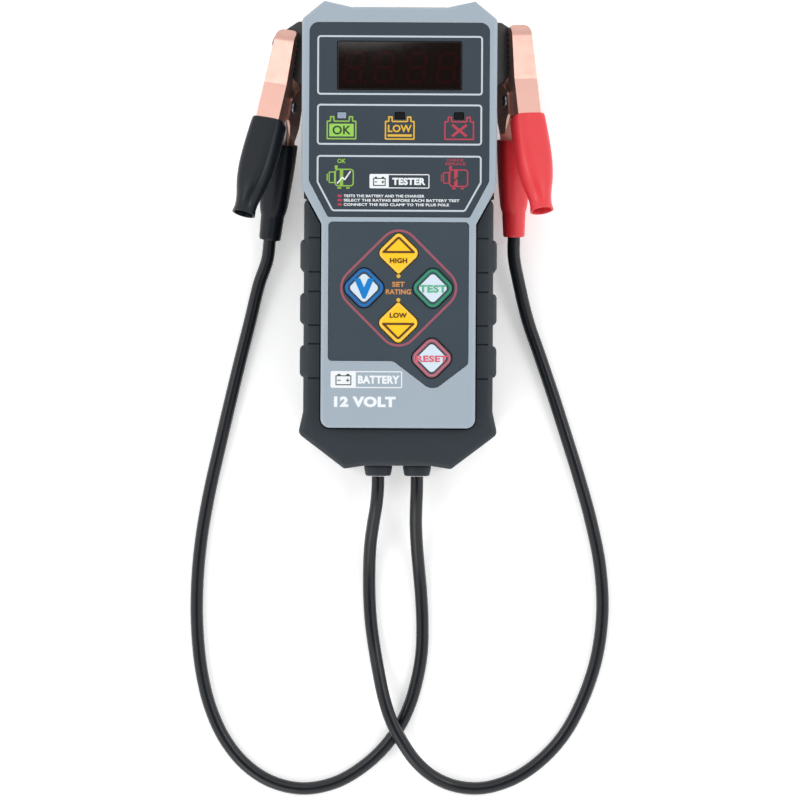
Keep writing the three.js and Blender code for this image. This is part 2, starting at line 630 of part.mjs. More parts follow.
// Torsion spring around the rivet, with one leg inside each handle.
function jawSpring() {
  const points = [];
  const pitch = 2 * SPRING_WIRE + 0.3;
  const startAngle = Math.PI / 2;
  const half = (SPRING_TURNS * pitch) / 2;
  points.push([-20, 12.6, -half], [-12, 8.2, -half], [-5, 4.4, -half]);
  const perTurn = 12;
  for (let k = 0; k <= SPRING_TURNS * perTurn + perTurn / 2 - perTurn; k++) {
    const angle = startAngle - (2 * Math.PI * k) / perTurn;
    points.push([SPRING_RADIUS * Math.cos(angle), SPRING_RADIUS * Math.sin(angle), -half + (pitch * k) / perTurn]);
  }
  const endWidth = -half + pitch * (SPRING_TURNS - 0.5);
  points.push([-5, -4.4, endWidth], [-12, -8, endWidth], [-20, -9.8, endWidth]);
  return sweep(points, SPRING_WIRE, 66, 6);
}

function superEllipse(halfWidth, halfHeight, power, sides = 24) {
  const points = [];
  for (let k = 0; k < sides; k++) {
    const angle = (2 * Math.PI * k) / sides;
    const cosine = Math.cos(angle);
    const sine = Math.sin(angle);
    const size = (Math.abs(cosine) ** power + Math.abs(sine) ** power) ** (-1 / power);
    points.push([halfWidth * size * cosine, halfHeight * size * sine]);
  }
  return points;
}

// Soft sleeve over a handle, on an axis that leans by the tilt: sections as distance along, half width,
// half height and squareness.
function sleeve(axis, sections, shrink = 0) {
  const { start, tilt } = axis;
  const cosine = Math.cos(tilt);
  const sine = Math.sin(tilt);
  const layers = sections.map(([along, halfWidth, halfHeight, power]) => ({
    at: along,
    points: superEllipse(halfWidth - shrink, halfHeight - shrink, power),
  }));
  return loft(layers, (u, v, t) => [-start[0] - t * cosine + v * sine, start[1] + t * sine + v * cosine, u]);
}

function frontSleeve() {
  const sections = [
    [0, 6.8, 5.9, 4], [1, 7.1, 6.1, 4], [12, 7.5, 6.2, 3.6], [21, 7.5, 6.1, 3.2], [27, 7, 5.9, 2.8],
    [31, 6.3, 5.7, 2.5], [36, 5.2, 5.1, 2.1], [40, 4.7, 4.7, 2], [43.7, 5.1, 5.1, 2],
  ];
  const inside = sections.map((section) => [...section]);
  inside[0][0] -= 1;
  inside[inside.length - 1][0] += 1;
  return sleeve(FRONT_SLEEVE, sections).subtract(sleeve(FRONT_SLEEVE, inside, SLEEVE_WALL));
}

function rearSleeve() {
  const sections = [
    [0, 6.6, 5.9, 4], [1, 6.8, 6.1, 4], [11, 6.7, 5.9, 3.6], [21, 6.4, 5.7, 3], [28, 6, 5.5, 2.5],
    [30.5, 5.7, 5.4, 2.1], [32.5, 5.2, 5.2, 2], [38, 4.95, 4.95, 2], [REAR_SLEEVE.length, 4.7, 4.7, 2],
  ];
  const inside = sections.slice(0, 5).map((section) => [...section]);
  inside[0][0] -= 1;
  return sleeve(REAR_SLEEVE, sections).subtract(sleeve(REAR_SLEEVE, inside, SLEEVE_WALL));
}

// ---------- assembly ----------

const group = new THREE.Group();
group.name = 'battery_tester';

function include(name, shape, material) {
  const geometry = shape.isBufferGeometry ? shape : geometryFrom(shape);
  const mesh = new THREE.Mesh(geometry, material);
  mesh.name = name;
  group.add(mesh);
}

include('front_shell', frontShell(), greyPlastic());
include('rear_shell', rearShell(), blackPlastic());
include('grip_boot', gripBoot(), blackRubber());
include('upper_label', upperLabel(), labelFilm());
include('keypad_label', keypadLabel(), labelFilm());
include('display_window', displayWindow(), plastic(0x180e0d, 0.1));
include('display_module', displayModule(), plastic(0x2a2426, 0.5));
include('main_board', mainBoard(), boardGreen());
include('microcontroller', microcontroller(), plastic(0x17181a, 0.5));
include('buzzer', buzzer(), plastic(0x17181a, 0.5));
include('load_resistor', loadResistor(), plastic(0xd9d6cc, 0.8));
include('power_transistor', powerTransistor(), plastic(0x17181a, 0.4));

for (const key of KEYS) {
  include(`${key.name}_key`, keyPad(key), plastic(key.colour, 0.45));
  include(`${key.name}_switch`, switchBody(key), plastic(0x202226, 0.5));
  include(`${key.name}_plunger`, switchPlunger(key), plastic(0x2f3236, 0.5));
}

for (const lamp of LAMPS) {
  include(`${lamp.name}_led`, led(lamp), plastic(0xe8e4d8, 0.4));
  if (lamp.window) include(`${lamp.name}_light_pipe`, lightPipe(lamp), clearPlastic());
}

SCREWS.forEach(([x, y], index) => include(`housing_screw_${index + 1}`, housingScrew(x, y), steel()));

const LEAD_SIDES = [['red', -1, RED_ROUTE, CLAMPS[0]], ['black', 1, BLACK_ROUTE, CLAMPS[1]]];
for (const [name, side, route, clamp] of LEAD_SIDES) {
  include(`${name}_terminal`, leadTerminal(side), brass());
  include(`${name}_inner_wire`, innerWire(side), plastic(name === 'red' ? 0xb3202a : 0x1c1e21, 0.5));
  include(`${name}_strain_relief`, strainRelief(side), blackRubber());
  include(`${name}_lead`, lead(route, clamp), leadRubber());
}

for (const clamp of CLAMPS) {
  include(`${clamp.name}_front_jaw`, placed(frontJaw(), clamp), copper());
  include(`${clamp.name}_rear_jaw`, placed(rearJaw(), clamp), copper());
  include(`${clamp.name}_rivet`, placed(rivet(), clamp), steel());
  include(`${clamp.name}_spring`, placed(solidFrom(jawSpring()), clamp), steel());
  include(`${clamp.name}_front_sleeve`, placed(frontSleeve(), clamp), plastic(clamp.colour, 0.5));
  include(`${clamp.name}_rear_sleeve`, placed(rearSleeve(), clamp), plastic(clamp.colour, 0.5));
}

export default group;
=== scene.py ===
"""Looks of the handheld battery tester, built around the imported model.

Sizes are in millimetres until a mesh is made. Lights and the camera's clip distances are in metres."""
import json
import math

import bmesh
import bpy
from mathutils import Matrix, Vector

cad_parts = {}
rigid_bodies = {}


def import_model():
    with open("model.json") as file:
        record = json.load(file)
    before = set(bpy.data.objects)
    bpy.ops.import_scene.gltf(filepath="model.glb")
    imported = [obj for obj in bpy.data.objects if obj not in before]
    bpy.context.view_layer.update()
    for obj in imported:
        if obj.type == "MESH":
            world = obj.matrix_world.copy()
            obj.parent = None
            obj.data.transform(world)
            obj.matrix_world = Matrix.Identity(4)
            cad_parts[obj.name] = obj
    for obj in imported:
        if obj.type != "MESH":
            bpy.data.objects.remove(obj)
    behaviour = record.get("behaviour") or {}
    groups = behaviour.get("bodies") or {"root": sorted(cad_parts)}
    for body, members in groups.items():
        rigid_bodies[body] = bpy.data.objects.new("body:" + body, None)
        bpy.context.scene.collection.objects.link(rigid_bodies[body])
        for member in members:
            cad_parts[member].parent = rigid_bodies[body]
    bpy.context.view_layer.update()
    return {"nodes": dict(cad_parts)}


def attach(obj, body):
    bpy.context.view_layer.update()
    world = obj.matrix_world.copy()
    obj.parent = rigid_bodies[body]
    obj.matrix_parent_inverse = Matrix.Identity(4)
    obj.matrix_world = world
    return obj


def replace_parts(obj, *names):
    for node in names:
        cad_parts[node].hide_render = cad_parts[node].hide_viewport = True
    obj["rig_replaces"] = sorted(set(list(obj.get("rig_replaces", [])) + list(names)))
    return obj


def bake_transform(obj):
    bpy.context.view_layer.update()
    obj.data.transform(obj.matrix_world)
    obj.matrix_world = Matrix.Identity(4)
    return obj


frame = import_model()
MM = 0.001
TESTER = "tester"

# ---- camera

CAMERA_HEIGHT = 1146.0
FACE_Z = 46.0
VIEW_WIDTH = 341.9
SENSOR = 36.0
CAMERA_X, CAMERA_Y, CAMERA_TURN = 0.93, -70.95, 0.0054
camera_data = bpy.data.cameras.new("camera")
camera_data.sensor_width = SENSOR
camera_data.lens = SENSOR * (CAMERA_HEIGHT - FACE_Z) / VIEW_WIDTH
camera_data.clip_start = 0.05
camera_data.clip_end = 10
camera = bpy.data.objects.new("camera", camera_data)
camera.location = (CAMERA_X * MM, CAMERA_Y * MM, CAMERA_HEIGHT * MM)
camera.rotation_euler = (0, 0, CAMERA_TURN)
bpy.context.scene.collection.objects.link(camera)
bpy.context.scene.camera = camera
bpy.context.scene.view_settings.view_transform = "Standard"


# ---- materials

def srgb(red, green, blue):
    """A linear colour from 0 to 255 display values."""
    def linear(value):
        value /= 255
        return value / 12.92 if value <= 0.04045 else ((value + 0.055) / 1.055) ** 2.4
    return (linear(red), linear(green), linear(blue), 1.0)


def scaled(colour, factor):
    return tuple(min(1.0, channel * factor) for channel in colour[:3]) + (1.0,)


def fill(node, **values):
    """Sets a node's inputs by name, with _ for each space."""
    for name, value in values.items():
        node.inputs[name.replace("_", " ")].default_value = value
    return node


# Painted edge highlight: a lighter colour where the bevel shader finds a rounded edge, broken into patches.
EDGE_HIGHLIGHT_RADIUS = 0.5
EDGE_HIGHLIGHT_START, EDGE_HIGHLIGHT_FULL = 0.99, 0.86
EDGE_HIGHLIGHT_PATCH = 2.5
STREAK_SIZE, STREAK_SHADE = 1.2, 0.86


def material(name, colour, roughness, metallic=0.0, grain=0.3, grain_depth=0.05, mottle=0.08,
             mottle_size=6.0, gloss_change=0.08, edge_highlight=0.0, edge_highlight_colour=None, coat=0.0, streaks=None,
             subsurface=0.0, specular=0.5):
    """A moulded or printed surface with fine grain, slow colour change and uneven gloss.
    edge_highlight above 0 paints a lighter highlight onto its rounded edges, in patches. grain and
    mottle_size are in millimetres."""
    made = bpy.data.materials.new(name)
    made.use_nodes = True
    nodes, links = made.node_tree.nodes, made.node_tree.links
    shader = nodes["Principled BSDF"]
    place = nodes.new("ShaderNodeTexCoord")

    def noise(size, detail, stretch=None):
        texture = fill(nodes.new("ShaderNodeTexNoise"), Scale=1000.0 / size, Detail=detail)
        if stretch:
            mapping = fill(nodes.new("ShaderNodeMapping"), Scale=stretch)
            links.new(place.outputs["Object"], mapping.inputs["Vector"])
            links.new(mapping.outputs["Vector"], texture.inputs["Vector"])
        else:
            links.new(place.outputs["Object"], texture.inputs["Vector"])
        return texture

    def blend_colours(factor, first, second):
        mix = nodes.new("ShaderNodeMix")
        mix.data_type = "RGBA"
        links.new(factor, mix.inputs["Factor"])
        for socket, value in ((mix.inputs[6], first), (mix.inputs[7], second)):
            if isinstance(value, tuple):
                socket.default_value = value
            else:
                links.new(value, socket)
        return mix.outputs[2]

    slow = noise(mottle_size, 4)
    colour_out = blend_colours(slow.outputs["Fac"], scaled(colour, 1 - mottle), scaled(colour, 1 + mottle))
    if streaks:
        drawn = noise(STREAK_SIZE, 3, streaks)
        colour_out = blend_colours(drawn.outputs["Fac"], scaled(colour, STREAK_SHADE), colour_out)
    # painted highlight on the rounded edges, lighter in patches
    if edge_highlight > 0:
        geometry = nodes.new("ShaderNodeNewGeometry")
        edge = fill(nodes.new("ShaderNodeBevel"), Radius=EDGE_HIGHLIGHT_RADIUS * MM)
        edge.samples = 4
        likeness = nodes.new("ShaderNodeVectorMath")
        likeness.operation = "DOT_PRODUCT"
        links.new(geometry.outputs["Normal"], likeness.inputs[0])
        links.new(edge.outputs["Normal"], likeness.inputs[1])
        lit_edge = fill(nodes.new("ShaderNodeMapRange"), From_Min=EDGE_HIGHLIGHT_START, From_Max=EDGE_HIGHLIGHT_FULL,
                      To_Max=edge_highlight)
        links.new(likeness.outputs["Value"], lit_edge.inputs["Value"])
        patch = noise(EDGE_HIGHLIGHT_PATCH, 5)
        both = nodes.new("ShaderNodeMath")
        both.operation = "MULTIPLY"
        links.new(lit_edge.outputs["Result"], both.inputs[0])
        links.new(patch.outputs["Fac"], both.inputs[1])
        colour_out = blend_colours(both.outputs["Value"], colour_out, edge_highlight_colour or scaled(colour, 1.5))
    links.new(colour_out, shader.inputs["Base Color"])

    uneven = noise(mottle_size * 0.6, 3)
    gloss = fill(nodes.new("ShaderNodeMapRange"), To_Min=max(0.02, roughness - gloss_change),
                 To_Max=min(1.0, roughness + gloss_change))
    links.new(uneven.outputs["Fac"], gloss.inputs["Value"])
    links.new(gloss.outputs["Result"], shader.inputs["Roughness"])

    fine = noise(grain, 2)
    bump = fill(nodes.new("ShaderNodeBump"), Strength=0.6, Distance=grain_depth * MM)
    links.new(fine.outputs["Fac"], bump.inputs["Height"])
    links.new(bump.outputs["Normal"], shader.inputs["Normal"])

    fill(shader, Metallic=metallic, Coat_Weight=coat, Coat_Roughness=0.12, Specular_IOR_Level=specular)
    if subsurface:
        fill(shader, Subsurface_Weight=subsurface, Subsurface_Radius=(0.6, 0.2, 0.15), Subsurface_Scale=MM)
    return made


# the grey, black and boot looks get a painted highlight on their rounded edges
GREY = material("grey_abs", srgb(150, 163, 174), 0.45, grain=0.35, grain_depth=0.02, mottle=0.02,
                mottle_size=25, edge_highlight=0.3, edge_highlight_colour=srgb(186, 196, 205))
BLACK_ABS = material("black_abs", srgb(26, 28, 31), 0.5, grain_depth=0.04, mottle=0.06, edge_highlight=0.3)
BOOT = material("boot_rubber", srgb(34, 42, 49), 0.58, grain=0.25, mottle_size=9, edge_highlight=0.5,
                edge_highlight_colour=srgb(70, 78, 86), specular=0.4)
FILM = material("panel_film", srgb(48, 58, 67), 0.45, grain=0.18, grain_depth=0.006, mottle=0.06,
                mottle_size=40, specular=0.35)
KEYPAD_FILM = material("keypad_film", srgb(53, 64, 73), 0.45, grain=0.18, grain_depth=0.006, mottle=0.06,
                       mottle_size=30, specular=0.35)
WINDOW = material("display_pane", (0.006, 0.003, 0.0025, 1), 0.05, mottle=0.04, grain=2, grain_depth=0.0005,
                  gloss_change=0.02)
DISPLAY = material("display_body", srgb(22, 15, 15), 0.6, mottle=0.05)
SEGMENT = material("unlit_segment", srgb(32, 9, 8), 0.05, mottle=0.1, mottle_size=3, grain=0.5,
                   grain_depth=0.0005, gloss_change=0.02)


# A flat printed look, also used for the painted highlights on the keys.
def ink(name, red, green, blue):
    return material(name, srgb(red, green, blue), 0.5, mottle=0.04, mottle_size=5, grain=0.12,
                    grain_depth=0.006, specular=0.3)


PRINT_WHITE = ink("white_ink", 222, 226, 230)
PRINT_LINE = ink("frame_ink", 184, 193, 202)
PRINT_GREEN = ink("green_ink", 132, 174, 70)
PRINT_PALE_GREEN = ink("pale_green_ink", 140, 192, 80)
PRINT_YELLOW = ink("yellow_ink", 212, 168, 56)
PRINT_RED = ink("red_ink", 172, 58, 76)
PRINT_ROSE = ink("rose_ink", 146, 80, 94)
# painted highlight along the middle of the reset key's ring
ROSE_RIDGE_HIGHLIGHT = ink("rose_ridge_highlight_paint", 178, 114, 126)
PRINT_ORANGE = ink("orange_ink", 192, 132, 78)
PRINT_BROWN = ink("brown_ink", 88, 52, 26)
PRINT_BLUE = ink("blue_ink", 14, 86, 148)
# painted highlight along the middle of the volt key's ring
BLUE_RIDGE_HIGHLIGHT = ink("blue_ridge_highlight_paint", 40, 112, 176)
PRINT_V = ink("v_ink", 4, 116, 190)
PRINT_DEEP_GREEN = ink("deep_green_ink", 32, 110, 86)
# painted highlight along the middle of the test key's ring
TEAL_RIDGE_HIGHLIGHT = ink("teal_ridge_highlight_paint", 64, 142, 114)
PRINT_TEST = ink("test_ink", 88, 166, 128)
PRINT_RESET = ink("reset_ink", 206, 90, 106)
PRINT_KEY_GREY = ink("key_grey_ink", 198, 213, 224)
PRINT_DARK = ink("dark_ink", 40, 62, 48)
# painted highlight along the yellow keys' edges
KEY_RIM_HIGHLIGHT = ink("key_rim_highlight_paint", 236, 190, 92)
YELLOW_KEY = material("yellow_key_film", srgb(238, 190, 32), 0.45, mottle=0.03, grain=0.18,
                      grain_depth=0.006, specular=0.3)
# the copper's rounded edges get a painted highlight
COPPER = material("copper_plate", (0.61, 0.36, 0.305, 1), 0.34, metallic=0.85, grain=0.5, grain_depth=0.012,
                  mottle=0.05, mottle_size=7, streaks=(6, 0.5, 6), edge_highlight=0.3, edge_highlight_colour=(0.85, 0.6, 0.5, 1))
STEEL = material("plated_steel", (0.30, 0.31, 0.33, 1), 0.3, metallic=1, grain=0.4, grain_depth=0.01,
                 mottle=0.1, mottle_size=2)
BRASS = material("brass_plate", (0.60, 0.42, 0.18, 1), 0.35, metallic=1, grain=0.4, grain_depth=0.01,
                 mottle=0.1)
RED_PVC = material("red_sleeve", srgb(214, 44, 52), 0.36, grain=0.5, grain_depth=0.015, mottle=0.05,
                   mottle_size=10, subsurface=0.15, coat=0.1)
BLACK_PVC = material("black_sleeve", srgb(15, 21, 27), 0.34, grain=0.5, grain_depth=0.015,
                     mottle_size=10, coat=0.05, specular=0.25)
LEAD = material("lead_pvc", srgb(17, 21, 26), 0.30, grain=0.6, grain_depth=0.02, mottle_size=12, specular=0.4)
BOARD = material("board_green", srgb(28, 84, 56), 0.4, grain_depth=0.02, mottle=0.15, mottle_size=4)
CHIP = material("chip_black", srgb(26, 27, 29), 0.5, grain=0.2, grain_depth=0.03)
CERAMIC = material("cement", srgb(204, 199, 186), 0.8, grain=0.6, grain_depth=0.1, mottle=0.06)
LENS_CLEAR = material("lens_clear", srgb(138, 152, 166), 0.25, mottle=0.05, grain=1, grain_depth=0.01)
LENS_DARK = material("lens_dark", srgb(9, 10, 12), 0.3, mottle=0.05, grain=1, grain_depth=0.01,
                     specular=0.3)
LED_WHITE = material("led_body", srgb(225, 220, 205), 0.4, mottle=0.04)
RED_WIRE = material("red_wire", srgb(180, 36, 44), 0.4, mottle=0.06)
BLACK_WIRE = material("black_wire", srgb(30, 32, 35), 0.4, mottle=0.06)


# ---- outlines and meshes

def flipped(corners):
    return [(x, -y, radius) for x, y, radius in reversed(corners)]


def both_sides(half):
    return list(half) + [(-x, y, radius) for x, y, radius in reversed(half)]


def moved(corners, x, y):
    return [(cx + x, cy + y, radius) for cx, cy, radius in corners]


def box2(x0, y0, x1, y1, radius):
    return [(x0, y0, radius), (x1, y0, radius), (x1, y1, radius), (x0, y1, radius)]


def outline(corners, inset=0.0, steps=8):
    """Closed outline with rounded corners, moved inwards by inset."""
    points = []
    count = len(corners)
    for i, (x, y, radius) in enumerate(corners):
        before, after = corners[i - 1], corners[(i + 1) % count]
        into = Vector((x - before[0], y - before[1])).normalized()
        out = Vector((after[0] - x, after[1] - y)).normalized()
        normal_in, normal_out = Vector((-into.y, into.x)), Vector((-out.y, out.x))
        share = inset / (1 + normal_in.dot(normal_out))
        corner = Vector((x, y)) + (normal_in + normal_out) * share
        turn = math.atan2(into.x * out.y - into.y * out.x, into.dot(out))
        sign = -1.0 if turn < 0 else 1.0
        bend = max(radius - sign * inset, 0.05)
        start = corner - into * (bend * math.tan(abs(turn) / 2))
        centre = start + normal_in * (sign * bend)
        for k in range(steps + 1):
            arm = start - centre
            angle = turn * k / steps
            cosine, sine = math.cos(angle), math.sin(angle)
            points.append((centre.x + arm.x * cosine - arm.y * sine,
                           centre.y + arm.x * sine + arm.y * cosine))
    return points


def circle(radius, sides=40, x=0.0, y=0.0):
    step = 2 * math.pi / sides
    return [(x + radius * math.cos(k * step), y + radius * math.sin(k * step)) for k in range(sides)]


def flat(u, v, t):
    return (u, v, t)


def skin(rows, count, caps=True):
    """Faces that join rows of count points each, closed at both ends if caps."""
    faces = []
    for row in range(rows - 1):
        for k in range(count):
            a, b = row * count + k, row * count + (k + 1) % count
            faces.append((a, b, b + count, a + count))
    if caps:
        top = (rows - 1) * count
        faces.append(tuple(range(count - 1, -1, -1)))
        faces.append(tuple(range(top, top + count)))
    return faces


def loft(layers, place=flat, caps=True):
    """Vertices and faces of a solid through a stack of (level, outline) with equal point counts."""
    vertices = [place(u, v, level) for level, points in layers for u, v in points]
    return vertices, skin(len(layers), len(layers[0][1]), caps)


def prism(corners, levels, steps=8):
    return loft([(z, outline(corners, inset, steps)) for z, inset in levels])


def slab(corners, bottom, top, inset=0.0, steps=8):
    return prism(corners, [(bottom, inset), (top, inset)], steps)


def block(x0, x1, y0, y1, z0, z1):
    points = [(x0, y0), (x1, y0), (x1, y1), (x0, y1)]
    return loft([(z0, points), (z1, points)])


def rod(radius, bottom, top, x, y, sides=40):
    points = circle(radius, sides, x, y)
    return loft([(bottom, points), (top, points)])


def joined(*solids):
    """Several vertex and face lists as one."""
    vertices, faces = [], []
    for some_vertices, some_faces in solids:
        start = len(vertices)
        vertices += list(some_vertices)
        faces += [tuple(k + start for k in face) for face in some_faces]
    return vertices, faces


def placed(solid, matrix):
    return [tuple(matrix @ Vector(v)) for v in solid[0]], solid[1]


def new_object(name, solid):
    mesh = bpy.data.meshes.new(name)
    mesh.from_pydata([tuple(c * MM for c in v) for v in solid[0]], [], solid[1])
    mesh.validate()
    mesh.update()
    made = bpy.data.objects.new(name, mesh)
    bpy.context.scene.collection.objects.link(made)
    return made


def applied(obj):
    """The object's mesh with its modifiers made real."""
    bpy.context.view_layer.update()
    graph = bpy.context.evaluated_depsgraph_get()
    mesh = bpy.data.meshes.new_from_object(obj.evaluated_get(graph))
    obj.modifiers.clear()
    old = obj.data
    obj.data = mesh
    bpy.data.meshes.remove(old)
    return obj


def combine(obj, solids, operation):
    """Boolean of obj with each solid in turn."""
    for solid in solids:
        tool = new_object("tool", solid)
        modifier = obj.modifiers.new("cut", "BOOLEAN")
        modifier.operation = operation
        modifier.solver = "EXACT"
        modifier.object = tool
        applied(obj)
        bpy.data.objects.remove(tool)
    return obj


MERGE_DISTANCE = 0.004


def cleaned(obj, flat_angle=0.6):
    """Merges doubles and dissolves the flat edges that booleans leave."""
    work = bmesh.new()
    work.from_mesh(obj.data)
    bmesh.ops.remove_doubles(work, verts=work.verts, dist=MERGE_DISTANCE * MM)
    bmesh.ops.dissolve_limit(work, angle_limit=math.radians(flat_angle), verts=work.verts, edges=work.edges)
    bmesh.ops.recalc_face_normals(work, faces=work.faces)
    work.to_mesh(obj.data)
    work.free()
    return obj


def bevelled(obj, width, segments=2, angle=35):
    modifier = obj.modifiers.new("edges", "BEVEL")
    modifier.width = width * MM
    modifier.segments = segments
    modifier.limit_method = "ANGLE"
    modifier.angle_limit = math.radians(angle)
    modifier.miter_outer = "MITER_ARC"
    return applied(obj)


ROUND_ANGLE = 50


def dressed(obj, look, body, slot, stands_for=(), smooth=32):
    """Gives a finished piece its material, shading and body; slot is not used. A piece given no body is left
    unattached.
    """
    mesh = obj.data
    mesh.materials.clear()
    mesh.materials.append(look)
    mesh.polygons.foreach_set("use_smooth", [True] * len(mesh.polygons))
    mesh.set_sharp_from_angle(angle=math.radians(smooth))
    mesh.update()
    if smooth < ROUND_ANGLE:
        even = obj.modifiers.new("even_shading", "WEIGHTED_NORMAL")
        even.weight = 90
        even.keep_sharp = True
    if body:
        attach(obj, body)
    if stands_for:
        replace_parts(obj, *stands_for)
    return obj


def between(first, second, t, start, end):
    """The value at t on the line through first at start and second at end."""
    return first * ((end - t) / (end - start)) + second * ((t - start) / (end - start))


def curve_points(points, spacing):
    """Points along a centripetal Catmull-Rom curve, about spacing apart."""
    path = [Vector(p) for p in points]
    path = [path[0] * 2 - path[1]] + path + [path[-1] * 2 - path[-2]]
    result = []
    for i in range(1, len(path) - 2):
        p0, p1, p2, p3 = path[i - 1:i + 3]
        t0 = 0.0
        t1 = t0 + (p1 - p0).length ** 0.5
        t2 = t1 + (p2 - p1).length ** 0.5
        t3 = t2 + (p3 - p2).length ** 0.5
        steps = max(2, round((p2 - p1).length / spacing))
        for k in range(steps):
            t = t1 + (t2 - t1) * k / steps
            middle = between(p1, p2, t, t1, t2)
            before = between(between(p0, p1, t, t0, t1), middle, t, t0, t2)
            after = between(middle, between(p2, p3, t, t2, t3), t, t1, t3)
            result.append(between(before, after, t, t1, t2))
    result.append(path[-2])
    return result


def tube(name, points, radius, look, resolution):
    data = bpy.data.curves.new(name, "CURVE")
    data.dimensions = "3D"
    data.bevel_depth = radius * MM
    data.bevel_resolution = resolution
    data.use_fill_caps = True
    spline = data.splines.new("POLY")
    spline.points.add(len(points) - 1)
    for point, place in zip(spline.points, points):
        point.co = (place[0] * MM, place[1] * MM, place[2] * MM, 1)
    data.materials.append(look)
    made = bpy.data.objects.new(name, data)
    bpy.context.scene.collection.objects.link(made)
    return made


def swept(points, radius, sides=12):
    """Vertices and faces of a round tube along points."""
    path = [Vector(p) for p in points]
    tangent = (path[1] - path[0]).normalized()
    side = tangent.orthogonal().normalized()
    vertices = []
    for i, place in enumerate(path):
        ahead, behind = path[min(i + 1, len(path) - 1)], path[max(i - 1, 0)]
        turned_to = (ahead - behind).normalized()
        side = (tangent.rotation_difference(turned_to) @ side).normalized()
        tangent = turned_to
        other = tangent.cross(side)
        for k in range(sides):
            angle = 2 * math.pi * k / sides
            spoke = side * (radius * math.cos(angle)) + other * (radius * math.sin(angle))
            vertices.append(tuple(place + spoke))
    return vertices, skin(len(path), sides)


# ---- clamp frames

ROLL = math.radians(18)
PIVOT = (52.0, 58.3, 26.0)
# side of the tester, shift along the body, lean away from it
CLAMPS = {"red": (1, 1.2, math.radians(3.5)), "black": (-1, -1.3, math.radians(10))}
FRONT_SLEEVE = {"start": (7.7, 8.7), "tilt": math.radians(16)}
REAR_SLEEVE = {"start": (15.6, -9.0), "tilt": math.radians(-8), "length": 43.0}


def clamp_frame(name):
    """Frame of a clamp: x along towards the jaws, y across the opening, z along the rivet."""
    side, shift, lean = CLAMPS[name]
    across = Vector((side * math.sin(ROLL), 0, math.cos(ROLL)))
    outward = Vector((side * math.cos(ROLL), 0, -math.sin(ROLL)))
    along = Vector((0, math.cos(lean), 0)) - outward * math.sin(lean)
    rivet = along.cross(across)
    frame_matrix = Matrix((along, across, rivet)).transposed().to_4x4()
    frame_matrix.translation = Vector((side * PIVOT[0], PIVOT[1] + shift, PIVOT[2]))
    return frame_matrix


def lead_end(name):
    start, tilt, length = REAR_SLEEVE["start"], REAR_SLEEVE["tilt"], REAR_SLEEVE["length"]
    matrix = clamp_frame(name)
    return [
        tuple(matrix @ Vector((-start[0] - along * math.cos(tilt), start[1] + along * math.sin(tilt), 0)))
        for along in (length + 9, length + 0.3)
    ]


# ---- leads

LEAD_RADIUS = 2.8
LEAD_X, LEAD_Z = 8.5, 17.3
GLAND_END = 104.2
RED_ROUTE = [
    (-8.5, -104.5, 17.3), (-8.6, -110, 17.3), (-9.2, -117, 15.8), (-10.5, -125, 12.4), (-11.8, -135, 8),
    (-12.3, -146, 4.6), (-12.2, -158, 3.1), (-11.5, -169, 3), (-10, -180, 3.6), (-8, -191, 5.8),
    (-5.4, -203, 8), (-2, -213, 8.9), (3, -222.5, 8.6), (9, -231, 7.3), (17, -238, 5.2),
    (27, -242.3, 3.4), (39, -243, 2.9), (53, -238.5, 2.9), (65, -230, 2.9), (75, -218.5, 2.9),
    (83, -203, 2.9), (88.8, -185, 2.9), (91.3, -165, 2.9), (90.2, -145, 2.9), (86.2, -125, 2.9),
    (80.6, -105, 2.9), (74.6, -86, 2.9), (68.4, -67, 3), (62.5, -50, 3.7), (57.2, -35, 5.2),
    (53.4, -20, 7.6),
]
BLACK_ROUTE = [
    (8.5, -104.5, 17.3), (8.5, -110, 17.3), (8.3, -117, 15.8), (8.2, -125, 12.4), (8.7, -135, 8.4),
    (9.7, -146, 5), (10.8, -158, 3.3), (11.4, -170, 2.9), (11.2, -182, 2.9), (9.6, -193, 2.9),
    (6.4, -205, 2.9), (1.4, -216, 2.9), (-6, -226, 2.9), (-15.5, -234.5, 2.9), (-27, -241, 2.9),
    (-41, -243.7, 2.9), (-55, -240.8, 2.9), (-66.5, -233.5, 2.9), (-76, -222, 2.9), (-82.5, -208, 2.9),
    (-86.5, -192, 2.9), (-88.6, -172, 2.9), (-88.6, -152, 2.9), (-86.8, -132, 2.9), (-83.4, -112, 2.9),
    (-79, -92, 2.9), (-74.2, -71, 2.9), (-69.7, -52, 2.9), (-65.7, -36, 3.6), (-61.8, -20, 5.3),
]


def lead(name, route):
    points = curve_points(route + lead_end(name), 1.5)
    length = sum((b - a).length for a, b in zip(points, points[1:]))
    made = tube(f"{name}_lead_tube", points, LEAD_RADIUS, LEAD, 8)
    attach(made, TESTER)
    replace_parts(made, f"{name}_lead")
    return made, length


LEADS = {name: lead(name, route) for name, route in (("red", RED_ROUTE), ("black", BLACK_ROUTE))}


# ---- housing

